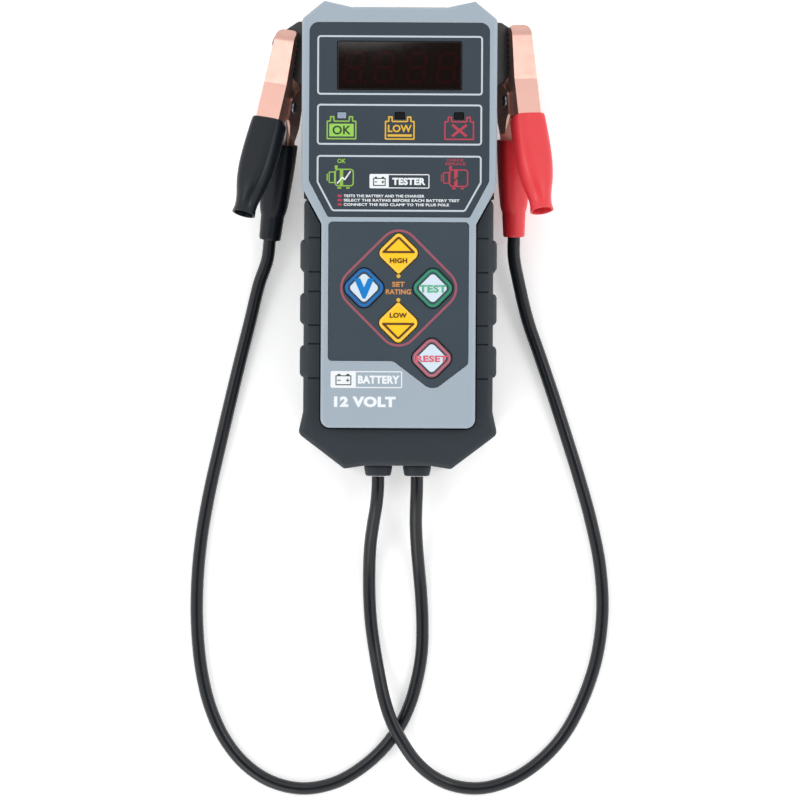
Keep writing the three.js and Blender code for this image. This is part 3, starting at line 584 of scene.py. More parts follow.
PARTING_Z = 36.0
SHELL_UNDER_Z = 43.4
RECESS_Z = 45.0
LABEL_BOTTOM_Z = 45.3
LABEL_TOP_Z = 45.8
BOOT_RIM_Z = 39.8
CUT_LOW, CUT_TOP = 40, 50
OPENING_LOW = 42
WALL = 2.3
GAP = 0.3
FRONT_HALF = [(33.1, -83, 4), (33.1, 4.4, 3), (41.8, 20.4, 3), (41.8, 92, 2.5), (32.3, 99.8, 1.5),
              (20, 97, 3)]
GRIP_INSIDE_HALF = [(18, -95.5, 2), (37, -84.5, 4), (37, 19, 1)]
BOOT_HALF = [(14, -99.3, 1.5), (23, -100.7, 2), (42.9, -85.6, 3), (40.8, -76, 5), (40.8, 15.5, 2.6)]
UPPER_LABEL = both_sides([(30.2, 7.4, 1), (38.3, 22.7, 2), (38.3, 90.2, 3.7)])
KEYPAD_LABEL = [(-29.8, -54.1, 1.5), (-2, -54.1, 4), (14.8, -66.8, 5), (29.8, -55.4, 2.5), (29.8, 4.9, 1.5),
                (-29.8, 4.9, 1.5)]
PANE = box2(-26.8, 61.5, 26.8, 82.6, 1)
RIBS = [(-15.7, -1.8), (-38.6, -24.9), (-61.4, -47.4)]
RIB_X = 42.4
KEY_TOP_Z = 46.4
DROP_KEY = [(0, -9.3, 1), (9.6, -0.1, 3), (0, 9.3, 2.3), (-9.6, -0.1, 3)]
DIAMOND_KEY = [(0, -10.1, 3.8), (10.1, 0, 3.8), (0, 10.1, 3.8), (-10.1, 0, 3.8)]
KEYS = {
    "high": (0, -8.1, DROP_KEY),
    "low": (0, -38.1, flipped(DROP_KEY)),
    "volt": (-14.7, -23.1, DIAMOND_KEY),
    "test": (14.7, -23.1, DIAMOND_KEY),
    "reset": (14.4, -53.0, DIAMOND_KEY),
}
KEY_SLOTS = {"high": "yellow_key", "low": "yellow_key", "volt": "blue_key", "test": "green_key",
             "reset": "red_key"}
LAMPS_X = (-24.6, 0.2, 25.5)
LAMP_Y = 50.6
SCREWS = [(-33, 88), (33, 88), (-25.5, -73), (25.5, -73)]


def lamp_holes():
    return [slab(box2(x - 2.2, LAMP_Y - 1.6, x + 2.2, LAMP_Y + 1.6, 0.4), CUT_LOW, CUT_TOP) for x in LAMPS_X]


def key_holes(bottom):
    return [slab(moved(corners, x, y), bottom, CUT_TOP, -GAP) for x, y, corners in KEYS.values()]


def rounded_edge(bottom, top, radius, inset=0.0, steps=5):
    """Levels of a wall whose upper edge is rounded."""
    levels = [(bottom, inset)]
    for k in range(steps + 1):
        angle = math.pi / 2 * k / steps
        levels.append((top - radius + radius * math.sin(angle), inset + radius * (1 - math.cos(angle))))
    return levels


def front_shell():
    corners = both_sides(FRONT_HALF)
    shell = new_object("front_cover", prism(corners, rounded_edge(PARTING_Z + GAP, FACE_Z, 1.5)))
    cuts = [
        slab(corners, PARTING_Z, SHELL_UNDER_Z, WALL),
        slab(UPPER_LABEL, RECESS_Z, CUT_TOP, -GAP),
        slab(KEYPAD_LABEL, RECESS_Z, CUT_TOP, -GAP),
        joined(slab(PANE, OPENING_LOW, CUT_TOP), *lamp_holes(), *key_holes(OPENING_LOW)),
    ]
    combine(shell, cuts, "DIFFERENCE")
    cleaned(shell)
    bevelled(shell, 0.2, 2, 40)
    return dressed(shell, GREY, TESTER, "grey_plastic", ["front_shell"])


def grip_boot():
    corners = both_sides(BOOT_HALF)
    levels = [(0, 2.4), (0.7, 1.0), (2.4, 0)] + rounded_edge(2.5, BOOT_RIM_Z, 2.6)
    boot = new_object("grip", prism(corners, levels))
    ribs = []
    for bottom, top in RIBS:
        rib = box2(-RIB_X, bottom, RIB_X, top, 2.2)
        ribs.append(prism(rib, [(0.7, 2.4), (2.4, 1), (4, 0)] + rounded_edge(4.5, BOOT_RIM_Z - 0.2, 3.2)))
    combine(boot, ribs, "UNION")
    grip = both_sides(GRIP_INSIDE_HALF)
    pocket_top = PARTING_Z + GAP
    grooves = [block(-38.6, 38.6, y - 0.4, y + 0.4, BOOT_RIM_Z - 0.9, CUT_TOP)
               for bottom, top in RIBS for y in (bottom - 0.4, top + 0.4)]
    cuts = [
        slab(grip, 2.5, pocket_top, -GAP),
        block(-37.3, 37.3, 10, 30, 2.5, pocket_top),
        slab(both_sides(FRONT_HALF), pocket_top - 0.1, CUT_TOP, -0.7),
        joined(*grooves),
        joined(*[rod(3.6, -1, 5, x, y) for x, y in SCREWS if y < 0]),
        joined(*[gland_bore(side) for side in (-1, 1)]),
    ]
    combine(boot, cuts, "DIFFERENCE")
    cleaned(boot)
    bevelled(boot, 0.35, 2, 38)
    return dressed(boot, BOOT, TESTER, "black_rubber", ["grip_boot"])


def along_body(x, z):
    return lambda u, v, t: (x + u, -t, z + v)


def gland_bore(side):
    points = circle(4.4)
    return loft([(84, points), (120, points)], along_body(side * LEAD_X, LEAD_Z))


def label(name, corners, holes, look, node):
    sheet = new_object(name, slab(corners, LABEL_BOTTOM_Z, LABEL_TOP_Z))
    combine(sheet, [joined(*holes)], "DIFFERENCE")
    cleaned(sheet)
    bevelled(sheet, 0.08, 2, 40)
    return dressed(sheet, look, TESTER, "label_film", [node])


def display_pane():
    levels = [(42.4, GAP)] + rounded_edge(42.5, LABEL_TOP_Z, 0.25, GAP)
    pane = new_object("display_pane", prism(PANE, levels))
    combine(pane, [slab(PANE, 42.1, SHELL_UNDER_Z - GAP, -1.5)], "UNION")
    return dressed(pane, WINDOW, TESTER, "window_plastic", ["display_window"])


def key_cap(name):
    x, y, corners = KEYS[name]
    corners = moved(corners, x, y)
    cap = new_object(f"{name}_cap", prism(corners, [(42.5, 0.1)] + rounded_edge(43, KEY_TOP_Z, 0.45, 0.1)))
    combine(cap, [slab(corners, 42.1, SHELL_UNDER_Z - GAP, -0.9)], "UNION")
    look = YELLOW_KEY if name in ("high", "low") else KEYPAD_FILM
    return dressed(cap, look, f"{name}_button", KEY_SLOTS[name], [f"{name}_key"])


front_shell()
grip_boot()
label("upper_film", UPPER_LABEL, [slab(PANE, CUT_LOW, CUT_TOP)] + lamp_holes(), FILM, "upper_label")
label("keypad_film_sheet", KEYPAD_LABEL, key_holes(CUT_LOW), KEYPAD_FILM, "keypad_label")
display_pane()
for key_name in KEYS:
    key_cap(key_name)


# ---- printing, and painted highlights on the keys

INK = 0.05


class Print:
    """Ink of one colour on one surface, as thin solid shapes, also used for the painted highlights on the
    keys.
    """

    def __init__(self, name, look, level=LABEL_TOP_Z, body=TESTER, slot="label_film", thick=INK):
        self.name, self.look, self.body, self.slot = name, look, body, slot
        self.low, self.top = level - 0.01, level + thick
        self.solids = []

    @property
    def high(self):
        """Top of the next shape. Neighbours differ by a hair, so that crossing shapes never share a face."""
        return self.top + 0.003 * (len(self.solids) % 6)

    def area(self, corners):
        self.solids.append(slab(corners, self.low, self.high, steps=6))

    def band(self, corners, width, inset=0.0):
        """A closed line of that width, just inside the outline."""
        outer = outline(corners, inset, 8)
        inner = outline(corners, inset + width, 8)
        count = len(outer)
        vertices = [(x, y, z) for z in (self.low, self.high) for ring in (outer, inner) for x, y in ring]
        faces = []
        low_out, low_in, high_out, high_in = 0, count, 2 * count, 3 * count
        for k in range(count):
            n = (k + 1) % count
            faces.append((high_out + k, high_out + n, high_in + n, high_in + k))
            faces.append((low_out + n, low_out + k, low_in + k, low_in + n))
            faces.append((low_out + k, low_out + n, high_out + n, high_out + k))
            faces.append((low_in + n, low_in + k, high_in + k, high_in + n))
        self.solids.append((vertices, faces))

    def line(self, x0, y0, x1, y1, width):
        way = Vector((x1 - x0, y1 - y0)).normalized()
        side = Vector((-way.y, way.x)) * (width / 2)
        start, end = Vector((x0, y0)), Vector((x1, y1))
        self.polygon([tuple(start - side), tuple(end - side), tuple(end + side), tuple(start + side)])

    def path(self, points, width):
        for (x0, y0), (x1, y1) in zip(points, points[1:]):
            self.line(x0, y0, x1, y1, width)

    def polygon(self, points):
        self.solids.append(loft([(self.low, points), (self.high, points)]))

    def dot(self, x, y, radius):
        self.solids.append(rod(radius, self.low, self.high, x, y, 24))

    def words(self, text, x, y, width, height, weight=0.02):
        """Plain letters that fill the given box, centred on x and y."""
        data = bpy.data.curves.new("words", "FONT")
        data.body = text
        data.size = 1
        data.offset = weight
        data.space_character = 1 + 1.6 * weight
        data.extrude = 0.5
        data.resolution_u = 4
        holder = bpy.data.objects.new("words", data)
        bpy.context.scene.collection.objects.link(holder)
        bpy.context.view_layer.update()
        graph = bpy.context.evaluated_depsgraph_get()
        mesh = bpy.data.meshes.new_from_object(holder.evaluated_get(graph))
        xs = [v.co.x for v in mesh.vertices]
        ys = [v.co.y for v in mesh.vertices]
        size_x, size_y = max(xs) - min(xs), max(ys) - min(ys)
        mid_x, mid_y = (max(xs) + min(xs)) / 2, (max(ys) + min(ys)) / 2
        vertices = []
        for v in mesh.vertices:
            z = self.high if v.co.z > 0 else self.low
            vertices.append((x + (v.co.x - mid_x) * width / size_x,
                             y + (v.co.y - mid_y) * height / size_y, z))
        faces = [tuple(p.vertices) for p in mesh.polygons]
        self.solids.append((vertices, faces))
        bpy.data.objects.remove(holder)
        bpy.data.curves.remove(data)
        bpy.data.meshes.remove(mesh)

    def make(self):
        piece = new_object(self.name, joined(*self.solids))
        return dressed(piece, self.look, self.body, self.slot, smooth=20)


def battery_symbol(ink, x):
    """Outline of a battery with two posts."""
    left, right, low, top, post = x - 6.4, x + 6.4, 40.3, 48.4, 50.3
    inner, outer = 3.0, 5.0
    ink.band([(left, low, 0.5), (right, low, 0.5), (right, top, 0.5), (x + outer, top, 0.1),
              (x + outer, post, 0.3), (x + inner, post, 0.3), (x + inner, top, 0.1), (x - inner, top, 0.1),
              (x - inner, post, 0.3), (x - outer, post, 0.3), (x - outer, top, 0.1), (left, top, 0.5)], 0.6)


def battery_icon(ink, x, y, size):
    """A small solid-line battery with its two poles."""
    ink.band(box2(x - 2.7 * size, y - 1.9 * size, x + 2.7 * size, y + 1.5 * size, 0.2), 0.4)
    for side in (-1, 1):
        px = x + side * 1.5 * size
        ink.line(px - 0.5 * size, y + 1.75 * size, px + 0.5 * size, y + 1.75 * size, 0.5)
        ink.line(px - 0.6 * size, y - 0.2 * size, px + 0.6 * size, y - 0.2 * size, 0.35)
    ink.line(x + 1.5 * size, y - 0.8 * size, x + 1.5 * size, y + 0.4 * size, 0.35)


def charging_symbol(ink, x):
    """A generic dynamo: drum with a pulley, ribs and a spark."""
    y = 24.2
    ink.band(box2(x - 2.6, y - 4.0, x + 5.6, y + 3.6, 1.5), 0.55)
    ink.band(box2(x - 5.2, y - 2.6, x - 2.4, y + 2.4, 0.6), 0.5)
    ink.line(x - 5.8, y - 1.6, x - 5.8, y + 1.4, 0.5)
    ink.line(x - 2.0, y + 3.4, x - 2.0, y + 5.0, 1.2)
    ink.line(x + 0.3, y - 3.8, x + 0.3, y + 3.4, 1.5)
    ink.line(x - 1.4, y - 4.6, x + 0.2, y - 4.6, 0.7)
    ink.line(x + 2.4, y - 4.6, x + 3.8, y - 4.6, 0.7)


TEXT_LINES = ("TESTS THE BATTERY AND THE CHARGER", "SELECT THE RATING BEFORE EACH BATTERY TEST",
              "CONNECT THE RED CLAMP TO THE PLUS POLE")
TEXT_WIDTHS = (34.5, 49.5, 45)


def upper_print():
    frames = Print("frame_print", PRINT_LINE)
    frames.band(box2(-35.2, 59.4, 35.6, 84.8, 1.5), 0.75)
    frames.band(box2(-35.2, 38.0, 35.4, 55.5, 1.5), 0.75)
    frames.band([(-28.6, 9.6, 1.8), (28.4, 9.6, 1.8), (35.3, 22.0, 2), (35.3, 33.6, 1.5),
                 (-35.2, 33.6, 1.5), (-35.2, 22.0, 2)], 0.75)
    frames.make()

    green = Print("good_print", PRINT_GREEN)
    battery_symbol(green, -24.7)
    charging_symbol(green, -24.9)
    green.words("OK", -24.6, 31.1, 3.6, 1.9, 0.03)
    green.make()
    fill = Print("good_fill_print", PRINT_PALE_GREEN)
    fill.area(box2(-29.9, 41.6, -19.5, 47.0, 0.3))
    fill.make()
    dark = Print("good_letters_print", PRINT_DARK, LABEL_TOP_Z + INK)
    dark.words("OK", -24.6, 44.3, 7.9, 3.8, 0.02)
    dark.make()

    yellow = Print("weak_print", PRINT_YELLOW)
    battery_symbol(yellow, 0.2)
    yellow.words("LOW", 0.2, 45.1, 10.2, 3.2, 0.03)
    yellow.line(-5.0, 42.1, 5.4, 42.1, 1.0)
    yellow.make()

    red = Print("bad_print", PRINT_RED)
    battery_symbol(red, 25.6)
    red.line(22.6, 41.9, 28.8, 46.8, 1.1)
    red.line(22.6, 46.8, 28.8, 41.9, 1.1)
    charging_symbol(red, 24.0)
    red.words("CHECK", 24.1, 31.7, 7.4, 1.15, 0.02)
    red.words("REPLACE", 24.1, 30.1, 8.6, 1.15, 0.02)
    red.make()

    for name, look, x in (("spark_print", PRINT_WHITE, -24.9), ("spark_dark_print", PRINT_DARK, 24.0)):
        spark = Print(name, look, LABEL_TOP_Z + INK)
        spark.path([(x - 1.6, 21.4), (x + 0.8, 24.2), (x + 1.6, 23.0), (x + 4.2, 26.8)], 0.55)
        spark.make()

    rows = [16.2 - 1.85 * row for row in range(3)]
    white = Print("title_print", PRINT_WHITE)
    white.band(box2(-12.6, 19.5, 13.0, 25.6, 0.6), 0.4)
    white.area(box2(-12.4, 19.7, -4.4, 25.4, 0.4))
    white.words("TESTER", 4.2, 22.5, 14.2, 3.1, 0.05)
    for y, text, width in zip(rows, TEXT_LINES, TEXT_WIDTHS):
        white.words(text, -23.6 + width / 2, y, width, 1.15, 0.03)
    white.make()
    icon = Print("title_icon_print", PRINT_DARK, LABEL_TOP_Z + INK)
    battery_icon(icon, -8.4, 22.4, 1.0)
    icon.make()
    bullets = Print("bullet_print", PRINT_RED)
    for y in rows:
        bullets.area(box2(-26.2, y - 0.5, -24.4, y + 0.5, 0.1))
    bullets.make()


def ring_key_print(name, look, ridge_highlight_look, word, word_look, word_size, weight):
    x, y, corners = KEYS[name]
    corners = moved(corners, x, y)
    body, part = f"{name}_button", KEY_SLOTS[name]
    ring = Print(f"{name}_ring_print", look, KEY_TOP_Z, body, part)
    ring.band(corners, 1.5, 0.3)
    ring.make()
    # a paler line along the middle of the ring: a painted highlight standing in for a raised ridge
    line = Print(f"{name}_ring_ridge_highlight", ridge_highlight_look, KEY_TOP_Z + INK, body, part)
    line.band(corners, 0.5, 0.8)
    line.make()
    centre = Print(f"{name}_centre_print", PRINT_KEY_GREY, KEY_TOP_Z, body, part)
    half = 6.6
    centre.area(moved([(0, -half, 1.7), (half, 0, 1.7), (0, half, 1.7), (-half, 0, 1.7)], x, y))
    centre.make()
    letters = Print(f"{name}_letters_print", word_look, KEY_TOP_Z + 0.08, body, part)
    letters.words(word, x, y - 0.3, word_size[0], word_size[1], weight)
    letters.make()


def arrow_key_print(name, direction, word):
    x, y, corners = KEYS[name]
    body, part = f"{name}_button", KEY_SLOTS[name]
    # a lighter band just inside the key's edge: a painted edge highlight
    edge = Print(f"{name}_rim_highlight_print", KEY_RIM_HIGHLIGHT, KEY_TOP_Z, body, part)
    edge.band(moved(corners, x, y), 0.55, 0.5)
    edge.make()
    brown = Print(f"{name}_letters_print", PRINT_BROWN, KEY_TOP_Z + INK, body, part)
    base = y - 0.1 * direction
    tip = y + 7.3 * direction
    triangle = [(x - 7.5, base, 0.4), (x + 7.5, base, 0.4), (x, tip, 1.2)]
    if direction < 0:
        triangle = triangle[::-1]
    brown.band(triangle, 0.9)
    brown.words(word, x, y - 3.3 * direction, 7.4, 2.2, 0.04)
    brown.make()


def keypad_print():
    ring = Print("ring_print", PRINT_ROSE)
    half = 28.8
    ring.band(moved([(0, -half, 9), (half, 0, 9), (0, half, 9), (-half, 0, 9)], 0.1, -23.1), 1.0)
    ring.make()
    orange = Print("rating_print", PRINT_ORANGE)
    orange.words("SET", 0.0, -21.5, 5.4, 2.2, 0.04)
    orange.words("RATING", 0.0, -24.7, 10.8, 2.2, 0.04)
    orange.make()
    dots = Print("dot_print", PRINT_YELLOW)
    dots.dot(0, -18.0, 0.85)
    dots.dot(0, -28.2, 0.85)
    dots.make()
    arrow_key_print("high", 1, "HIGH")
    arrow_key_print("low", -1, "LOW")
    ring_key_print("volt", PRINT_BLUE, BLUE_RIDGE_HIGHLIGHT, "V", PRINT_V, (8.6, 8.6), 0.07)
    ring_key_print("test", PRINT_DEEP_GREEN, TEAL_RIDGE_HIGHLIGHT, "TEST", PRINT_TEST, (11.7, 3.3), 0.04)
    ring_key_print("reset", PRINT_ROSE, ROSE_RIDGE_HIGHLIGHT, "RESET", PRINT_RESET, (13.4, 2.8), 0.04)


def lower_print():
    white = Print("rating_plate_print", PRINT_WHITE, FACE_Z, slot="grey_plastic")
    white.band(box2(-28.8, -65.9, 1.8, -58.7, 0.7), 0.45)
    white.area(box2(-28.6, -65.7, -18.0, -58.9, 0.5))
    white.words("BATTERY", -8.2, -62.3, 17.8, 3.5, 0.05)
    white.words("12 VOLT", -14.1, -71.8, 26.4, 4.6, 0.06)
    white.make()
    icon = Print("rating_icon_print", PRINT_DARK, FACE_Z + INK, slot="grey_plastic")
    battery_icon(icon, -23.3, -62.4, 1.25)
    icon.make()


def digit(ink, x, low, high, width):
    """A slanted seven-segment figure with all its segments."""
    thick, slant = 1.3, 0.14
    mid = (low + high) / 2
    half = width / 2 - thick / 2

    def segment(x0, y0, x1, y1):
        way = Vector((x1 - x0, y1 - y0)).normalized()
        side = Vector((-way.y, way.x)) * (thick / 2)
        a, b = Vector((x0, y0)) + way * 0.25, Vector((x1, y1)) - way * 0.25
        shape = [a, a + way * thick / 2 - side, b - way * thick / 2 - side, b, b - way * thick / 2 + side,
                 a + way * thick / 2 + side]
        ink.polygon([(p.x + (p.y - mid) * slant, p.y) for p in shape])

    bottom, top = low + thick / 2, high - thick / 2
    for y in (bottom, mid, top):
        segment(x - half, y, x + half, y)
    for side in (-half, half):
        segment(x + side, bottom, x + side, mid)
        segment(x + side, mid, x + side, top)


def display_print():
    """The unlit digits, drawn faintly on the face of the pane."""
    segments = Print("segment_print", SEGMENT, slot="part_plastic", thick=0.01)
    for x in (-19.6, -6.5, 7.3, 20.2):
        digit(segments, x, 64.4, 78.0, 8.3)
        segments.dot(x + 5.1, 65.0, 0.65)
    segments.make()


upper_print()
keypad_print()
lower_print()
display_print()


# ---- glands

GLAND_SIDE = {"red": -1, "black": 1}
GLAND_PROFILE = [(90.3, 5.8), (90.5, 6), (92.4, 6), (92.6, 5.8), (92.61, 4.1), (99.6, 4.1), (99.61, 5.8),
                 (99.9, 6.1), (100.4, 6.2), (101.2, 6.1), (102.2, 5.9), (103.4, 5.65), (103.9, 5.45),
                 (GLAND_END, 5.1)]

for lead_name, side in GLAND_SIDE.items():
    layers = [(along, circle(radius, 48)) for along, radius in GLAND_PROFILE]
    gland = new_object(f"{lead_name}_gland", loft(layers, along_body(side * LEAD_X, LEAD_Z)))
    bevelled(gland, 0.15, 2, 40)
    dressed(gland, BOOT, TESTER, "black_rubber", [f"{lead_name}_strain_relief"])


# ---- clamps

ARM_HALF = 5.2
FRAME_HALF = 6.5
SHEET = 1.2
JAW = 2.8
TEETH, TEETH_START, TOOTH_PITCH = 7, 13, 2.4
RIVET_RADIUS = 2.0
CHEEK_Z = 6.75


SLEEVE_SIDES = 56
LIP_STEPS = 6
BLIND_DEPTH = 14.5
SLEEVE_WALL = 1.0
SLEEVE_LOOKS = {"red": RED_PVC, "black": BLACK_PVC}


def super_ellipse(half_width, half_height, power):
    points = []
    for k in range(SLEEVE_SIDES):
        angle = 2 * math.pi * k / SLEEVE_SIDES
        cosine, sine = math.cos(angle), math.sin(angle)
        size = (abs(cosine) ** power + abs(sine) ** power) ** (-1 / power)
        points.append((half_width * size * cosine, half_height * size * sine))
    return points


def smooth_sections(sections, count):
    """More sections through the given ones, by a smooth curve through each value."""
    places = [s[0] for s in sections]
    result = []
    for k in range(count + 1):
        t = places[0] + (places[-1] - places[0]) * k / count
        i = max(j for j in range(len(places) - 1) if places[j] <= t + 1e-9)
        before, here, there, after = (sections[min(max(i + step, 0), len(sections) - 1)]
                                      for step in (-1, 0, 1, 2))
        share = (t - here[0]) / (there[0] - here[0])
        row = [t]
        for c in range(1, len(here)):
            gap = there[0] - here[0]
            slope_here = (there[c] - before[c]) / max(there[0] - before[0], 1e-6) * gap
            slope_there = (after[c] - here[c]) / max(after[0] - here[0], 1e-6) * gap
            h1 = 2 * share ** 3 - 3 * share ** 2 + 1
            h2 = share ** 3 - 2 * share ** 2 + share
            h3 = -2 * share ** 3 + 3 * share ** 2
            h4 = share ** 3 - share ** 2
            row.append(h1 * here[c] + h2 * slope_here + h3 * there[c] + h4 * slope_there)
        result.append(tuple(row))
    return result


def sleeve_shell(axis, sections, open_end):
    """Hollow sleeve: inside, rolled lips and outside as one closed skin, blind unless open_end."""
    start, tilt = axis["start"], axis["tilt"]
    cosine, sine = math.cos(tilt), math.sin(tilt)
    lip = SLEEVE_WALL / 2
    first, last = sections[0], sections[-1]
    rows = []

    def place(u, v, t):
        return (-start[0] - t * cosine + v * sine, start[1] + t * sine + v * cosine, u)

    def add(section, thinner=0.0, shift=0.0):
        t, half_width, half_height, power = section
        rows.append((t + shift, super_ellipse(half_width - thinner, half_height - thinner, power)))

    def roll(section, end):
        """The lip at an end: 1 goes from inside to outside at the mouth, -1 back at the far end."""
        for k in range(1, LIP_STEPS):
            angle = math.pi * k / LIP_STEPS
            add(section, lip * (1 + end * math.cos(angle)), end * (lip - lip * math.sin(angle)))

    for s in reversed(sections):
        if open_end or s[0] <= last[0] - BLIND_DEPTH:
            add(s, SLEEVE_WALL)
    roll(first, 1)
    for s in sections:
        add(s)
    if open_end:
        roll(last, -1)
        rows.append(rows[0])
    return loft(rows, place, caps=not open_end)


# distance from the mouth, half width, half height, squareness
FRONT_SECTIONS = [(0.5, 6.8, 5.9, 4), (1.5, 7.05, 6.1, 4), (12, 7.5, 6.2, 3.6), (21, 7.5, 6.1, 3.2),
                  (27, 7, 5.9, 2.8), (31, 6.3, 5.7, 2.5), (36, 5.2, 5.15, 2.05), (40, 4.7, 4.7, 2),
                  (43.2, 5.05, 5.05, 2)]
REAR_SECTIONS = [(0.5, 6.6, 5.9, 4), (1.5, 6.75, 6.05, 4), (11, 6.7, 5.9, 3.6), (21, 6.4, 5.7, 3),
                 (28, 6, 5.5, 2.5), (30.5, 5.75, 5.45, 2.1), (32.5, 5.2, 5.2, 2), (34, 5.15, 5.15, 2),
                 (38, 4.95, 4.95, 2), (42.6, 4.75, 4.75, 2), (43, 4.5, 4.5, 2)]


def sleeve(name, end, axis, sections, count, open_end, body, matrix):
    solid = sleeve_shell(axis, smooth_sections(sections, count), open_end)
    piece = new_object(f"{name}_{end}_grip", placed(solid, matrix))
    cleaned(piece, 0.01)
    dressed(piece, SLEEVE_LOOKS[name], body, f"{name}_sleeve", [f"{name}_{end}_sleeve"], smooth=60)


def across_rivet(solid):
    """Turns a solid made in plan, so that its levels run across the opening."""
    return [(x, -z, y) for x, y, z in solid[0]], solid[1]


def jaw_teeth(direction, half_width):
    solids = []
    for tooth in range(TEETH):
        start = TEETH_START + TOOTH_PITCH * tooth
        base, tip = direction * (JAW - 0.2), direction * (JAW + 1.1)
        points = [(start, base), (start + 1.8, base), (start + 0.9, tip)]
        if direction < 0:
            points = [points[1], points[0], points[2]]
        solids.append(loft([(-half_width - 1, points), (half_width + 1, points)]))
    return joined(*solids)


def moved_to_clamp(piece, matrix):
    piece.data.transform(Matrix.Translation(matrix.translation * MM) @ matrix.to_3x3().to_4x4())


def arm(name, side_view, hollow, half_width, plan, direction, body, node, matrix):
    """A folded sheet arm: its side view, hollowed, cut to its plan and given teeth."""
    piece = new_object(name, slab(side_view, -half_width, half_width))
    combine(piece, [slab(hollow, SHEET - half_width, half_width - SHEET, 0, 6)], "DIFFERENCE")
    combine(piece, [across_rivet(slab(plan, -40, 40))], "INTERSECT")
    combine(piece, [jaw_teeth(direction, half_width), rod(RIVET_RADIUS + GAP, -20, 20, 0, 0)], "DIFFERENCE")
    cleaned(piece)
    bevelled(piece, 0.3, 3, 30)
    moved_to_clamp(piece, matrix)
    return dressed(piece, COPPER, body, "copper", [node], smooth=40)


FRONT_SIDE = [(-4.2, -3.2, 2), (4.2, -3.2, 2), (9.5, JAW, 1.5), (32.5, JAW, 0.6), (32.5, 4.6, 1.2),
              (29, 8, 5), (8.6, 9.7, 4), (-7, 12.3, 6), (-33, 18.3, 0.6), (-33, 15, 0.6), (-7.4, 6.7, 1.5)]
FRONT_HOLLOW = [(31.2, -9, 0.1), (31.2, 4.2, 0.4), (28.6, 6.8, 3), (8.6, 8.5, 3), (-7, 11.1, 4),
                (-34, 17.4, 0.1), (-34, 6, 0.1), (-15, -9, 0.1)]
FRONT_EDGE = [(-33, -3.6, 1.5), (-9, -5.2, 4), (9, -5.2, 8), (32.5, -4.4, 2.4)]
FRONT_PLAN = FRONT_EDGE + flipped(FRONT_EDGE)
REAR_SIDE = [(-5.5, 3.4, 2), (-14, -5.6, 3), (-38, -12.2, 0.6), (-38, -15.6, 0.6), (-8, -10.8, 6),
             (8, -9.6, 8), (28, -8, 5), (31.5, -4.8, 1.2), (31.5, -JAW, 0.6), (7.4, -JAW, 1), (3.4, 3.4, 2)]
REAR_HOLLOW = [(-16, 9, 0.1), (-39, -6, 0.1), (-39, -14.6, 0.1), (-8, -9.6, 4), (8, -8.4, 6), (27.6, -6.8, 3),
               (30.2, -4.4, 0.4), (30.2, 9, 0.1)]
REAR_EDGE = [(-38, -4.2, 1.5), (-14, -5.2, 4), (-8, -6.5, 3), (9, -6.5, 3), (16, -5.2, 3), (31.5, -5.2, 2.6)]
REAR_PLAN = REAR_EDGE + flipped(REAR_EDGE)


def rivet(name, matrix):
    head = [(1, 1.5), (0.95, 1.9), (0.75, 2.35), (0.4, 2.6), (0, 2.7), (-0.01, RIVET_RADIUS)]
    profile = [(-CHEEK_Z - rise, radius) for rise, radius in head]
    profile += [(CHEEK_Z + rise, radius) for rise, radius in reversed(head)]
    piece = new_object(f"{name}_rivet_pin", loft([(z, circle(radius)) for z, radius in profile]))
    dimples = [rod(1.0, 7.2, 9, 0, 0), rod(1.0, -9, -7.2, 0, 0)]
    combine(piece, [joined(*dimples)], "DIFFERENCE")
    moved_to_clamp(piece, matrix)
    dressed(piece, STEEL, TESTER, "steel", [f"{name}_rivet"], smooth=40)


def jaw_spring(name, matrix):
    """A torsion spring."""
    wire, radius, turns = 0.55, 3.3, 4
    pitch = 2 * wire + 0.3
    half = turns * pitch / 2
    per_turn = 24
    points = [(-20, 12.6, -half), (-12, 8.2, -half), (-5, 4.4, -half)]
    last = int((turns - 0.5) * per_turn)
    for k in range(last + 1):
        angle = math.pi / 2 - 2 * math.pi * k / per_turn
        points.append((radius * math.cos(angle), radius * math.sin(angle), pitch * k / per_turn - half))
    end = -half + pitch * (turns - 0.5)
    points += [(-5, -4.4, end), (-12, -8, end), (-20, -9.8, end)]
    path = curve_points(points, 0.7)
    piece = new_object(f"{name}_coil_spring", placed(swept(path, wire), matrix))
    dressed(piece, STEEL, None, "steel", [f"{name}_spring"], smooth=60)
    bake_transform(piece)


for clamp_name in CLAMPS:
    frame_matrix = clamp_frame(clamp_name)
    front_body = f"{clamp_name}_front_arm"
    arm(f"{clamp_name}_front_arm_plate", FRONT_SIDE, FRONT_HOLLOW, ARM_HALF, FRONT_PLAN, 1, front_body,
        f"{clamp_name}_front_jaw", frame_matrix)
    arm(f"{clamp_name}_rear_arm_plate", REAR_SIDE, REAR_HOLLOW, FRAME_HALF, REAR_PLAN, -1, TESTER,
        f"{clamp_name}_rear_jaw", frame_matrix)
    rivet(clamp_name, frame_matrix)
    jaw_spring(clamp_name, frame_matrix)
    sleeve(clamp_name, "front", FRONT_SLEEVE, FRONT_SECTIONS, 60, True, front_body, frame_matrix)
    sleeve(clamp_name, "rear", REAR_SLEEVE, REAR_SECTIONS, 80, False, TESTER, frame_matrix)


# ---- carried-over nodes

def look_of(node):
    if node.endswith(("_switch", "_plunger")) or node in ("microcontroller", "buzzer", "power_transistor"):
        return CHIP
    if node.endswith("_light_pipe"):
        return LENS_CLEAR if node.startswith("good") else LENS_DARK
    if node.endswith("_led"):
        return LED_WHITE
    if node.startswith("housing_screw"):
        return STEEL
    if node.endswith("_terminal"):
        return BRASS
    if node.endswith("_inner_wire"):
        return RED_WIRE if node.startswith("red") else BLACK_WIRE
    return {"rear_shell": BLACK_ABS, "display_module": DISPLAY, "main_board": BOARD,
            "load_resistor": CERAMIC}[node]


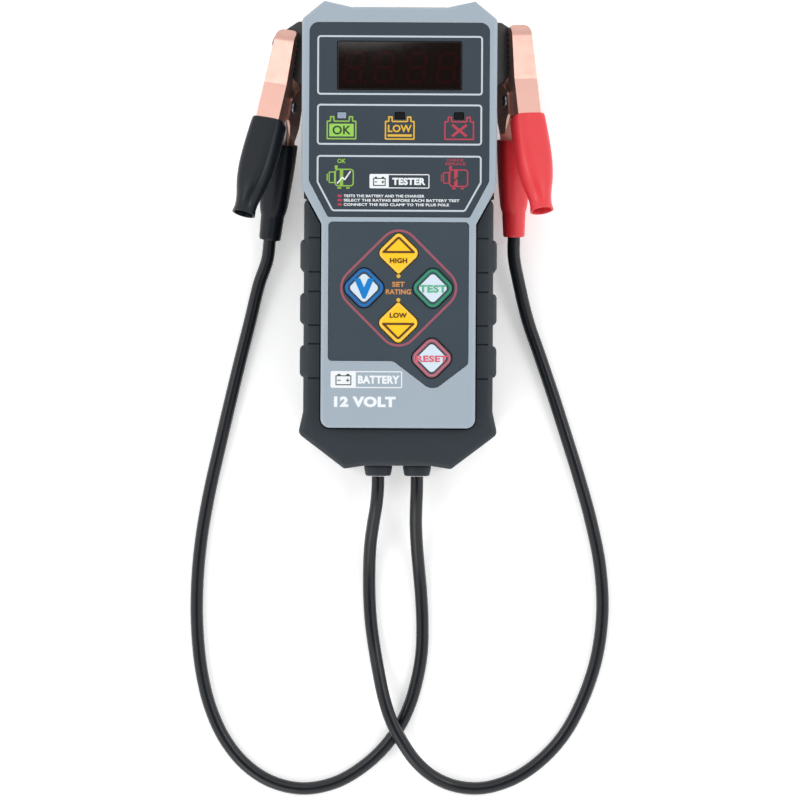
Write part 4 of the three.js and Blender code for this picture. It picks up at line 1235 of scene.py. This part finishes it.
replaced = {node for piece in bpy.context.scene.objects for node in piece.get("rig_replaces", [])}
for node, obj in frame["nodes"].items():
    if node not in replaced:
        obj.data.materials.clear()
        obj.data.materials.append(look_of(node))

for lead_name, (piece, length) in LEADS.items():
    side = GLAND_SIDE[lead_name]


# ---- stage

FLOOR_HALF = 3000
FLOOR_GLOW = 0.22
DOME_STRENGTH, OVERHEAD_STRENGTH = 1.25, 0.06
FADE_START, FADE_END = 0.84, 0.95


def floor():
    square = box2(-FLOOR_HALF, -FLOOR_HALF, FLOOR_HALF, FLOOR_HALF, 1)
    sheet = new_object("floor", slab(square, -3, -0.02))
    look = material("floor_paper", (0.97, 0.97, 0.97, 1), 0.9, mottle=0.01, mottle_size=60, grain=1,
                    grain_depth=0.02, specular=0.1)
    fill(look.node_tree.nodes["Principled BSDF"], Emission_Color=(1, 1, 1, 1), Emission_Strength=FLOOR_GLOW)
    sheet.data.materials.append(look)


def area_light(name, place, target, size, power):
    data = bpy.data.lights.new(name, "AREA")
    data.shape = "DISK"
    data.size = size
    data.energy = power
    light = bpy.data.objects.new(name, data)
    light.location = place
    light.rotation_euler = (Vector(target) - Vector(place)).to_track_quat("-Z", "Y").to_euler()
    bpy.context.scene.collection.objects.link(light)


def studio_world():
    """An even bright dome that darkens straight overhead."""
    world = bpy.data.worlds.new("studio")
    world.use_nodes = True
    nodes, links = world.node_tree.nodes, world.node_tree.links
    place = nodes.new("ShaderNodeTexCoord")
    split = nodes.new("ShaderNodeSeparateXYZ")
    links.new(place.outputs["Generated"], split.inputs["Vector"])
    fill(nodes["Background"], Color=(1, 1, 1, 1))
    fade = fill(nodes.new("ShaderNodeMapRange"), From_Min=FADE_START, From_Max=FADE_END,
                To_Min=DOME_STRENGTH, To_Max=OVERHEAD_STRENGTH)
    fade.interpolation_type = "SMOOTHSTEP"
    links.new(split.outputs["Z"], fade.inputs["Value"])
    links.new(fade.outputs["Result"], nodes["Background"].inputs["Strength"])
    bpy.context.scene.world = world


floor()
studio_world()
area_light("right_light", (0.80, 0.24, 1.0), (0.05, 0.07, 0.03), 0.4, 1.8)
area_light("left_light", (-0.80, 0.28, 1.0), (-0.05, 0.07, 0.03), 0.4, 1.8)
area_light("front_light", (-0.5, -1.0, 0.7), (0, -0.05, 0.02), 0.6, 2.0)
area_light("glare_light", (-0.038, 0.400, 1.146), (0, 0.07, 0.046), 0.34, 0.5)
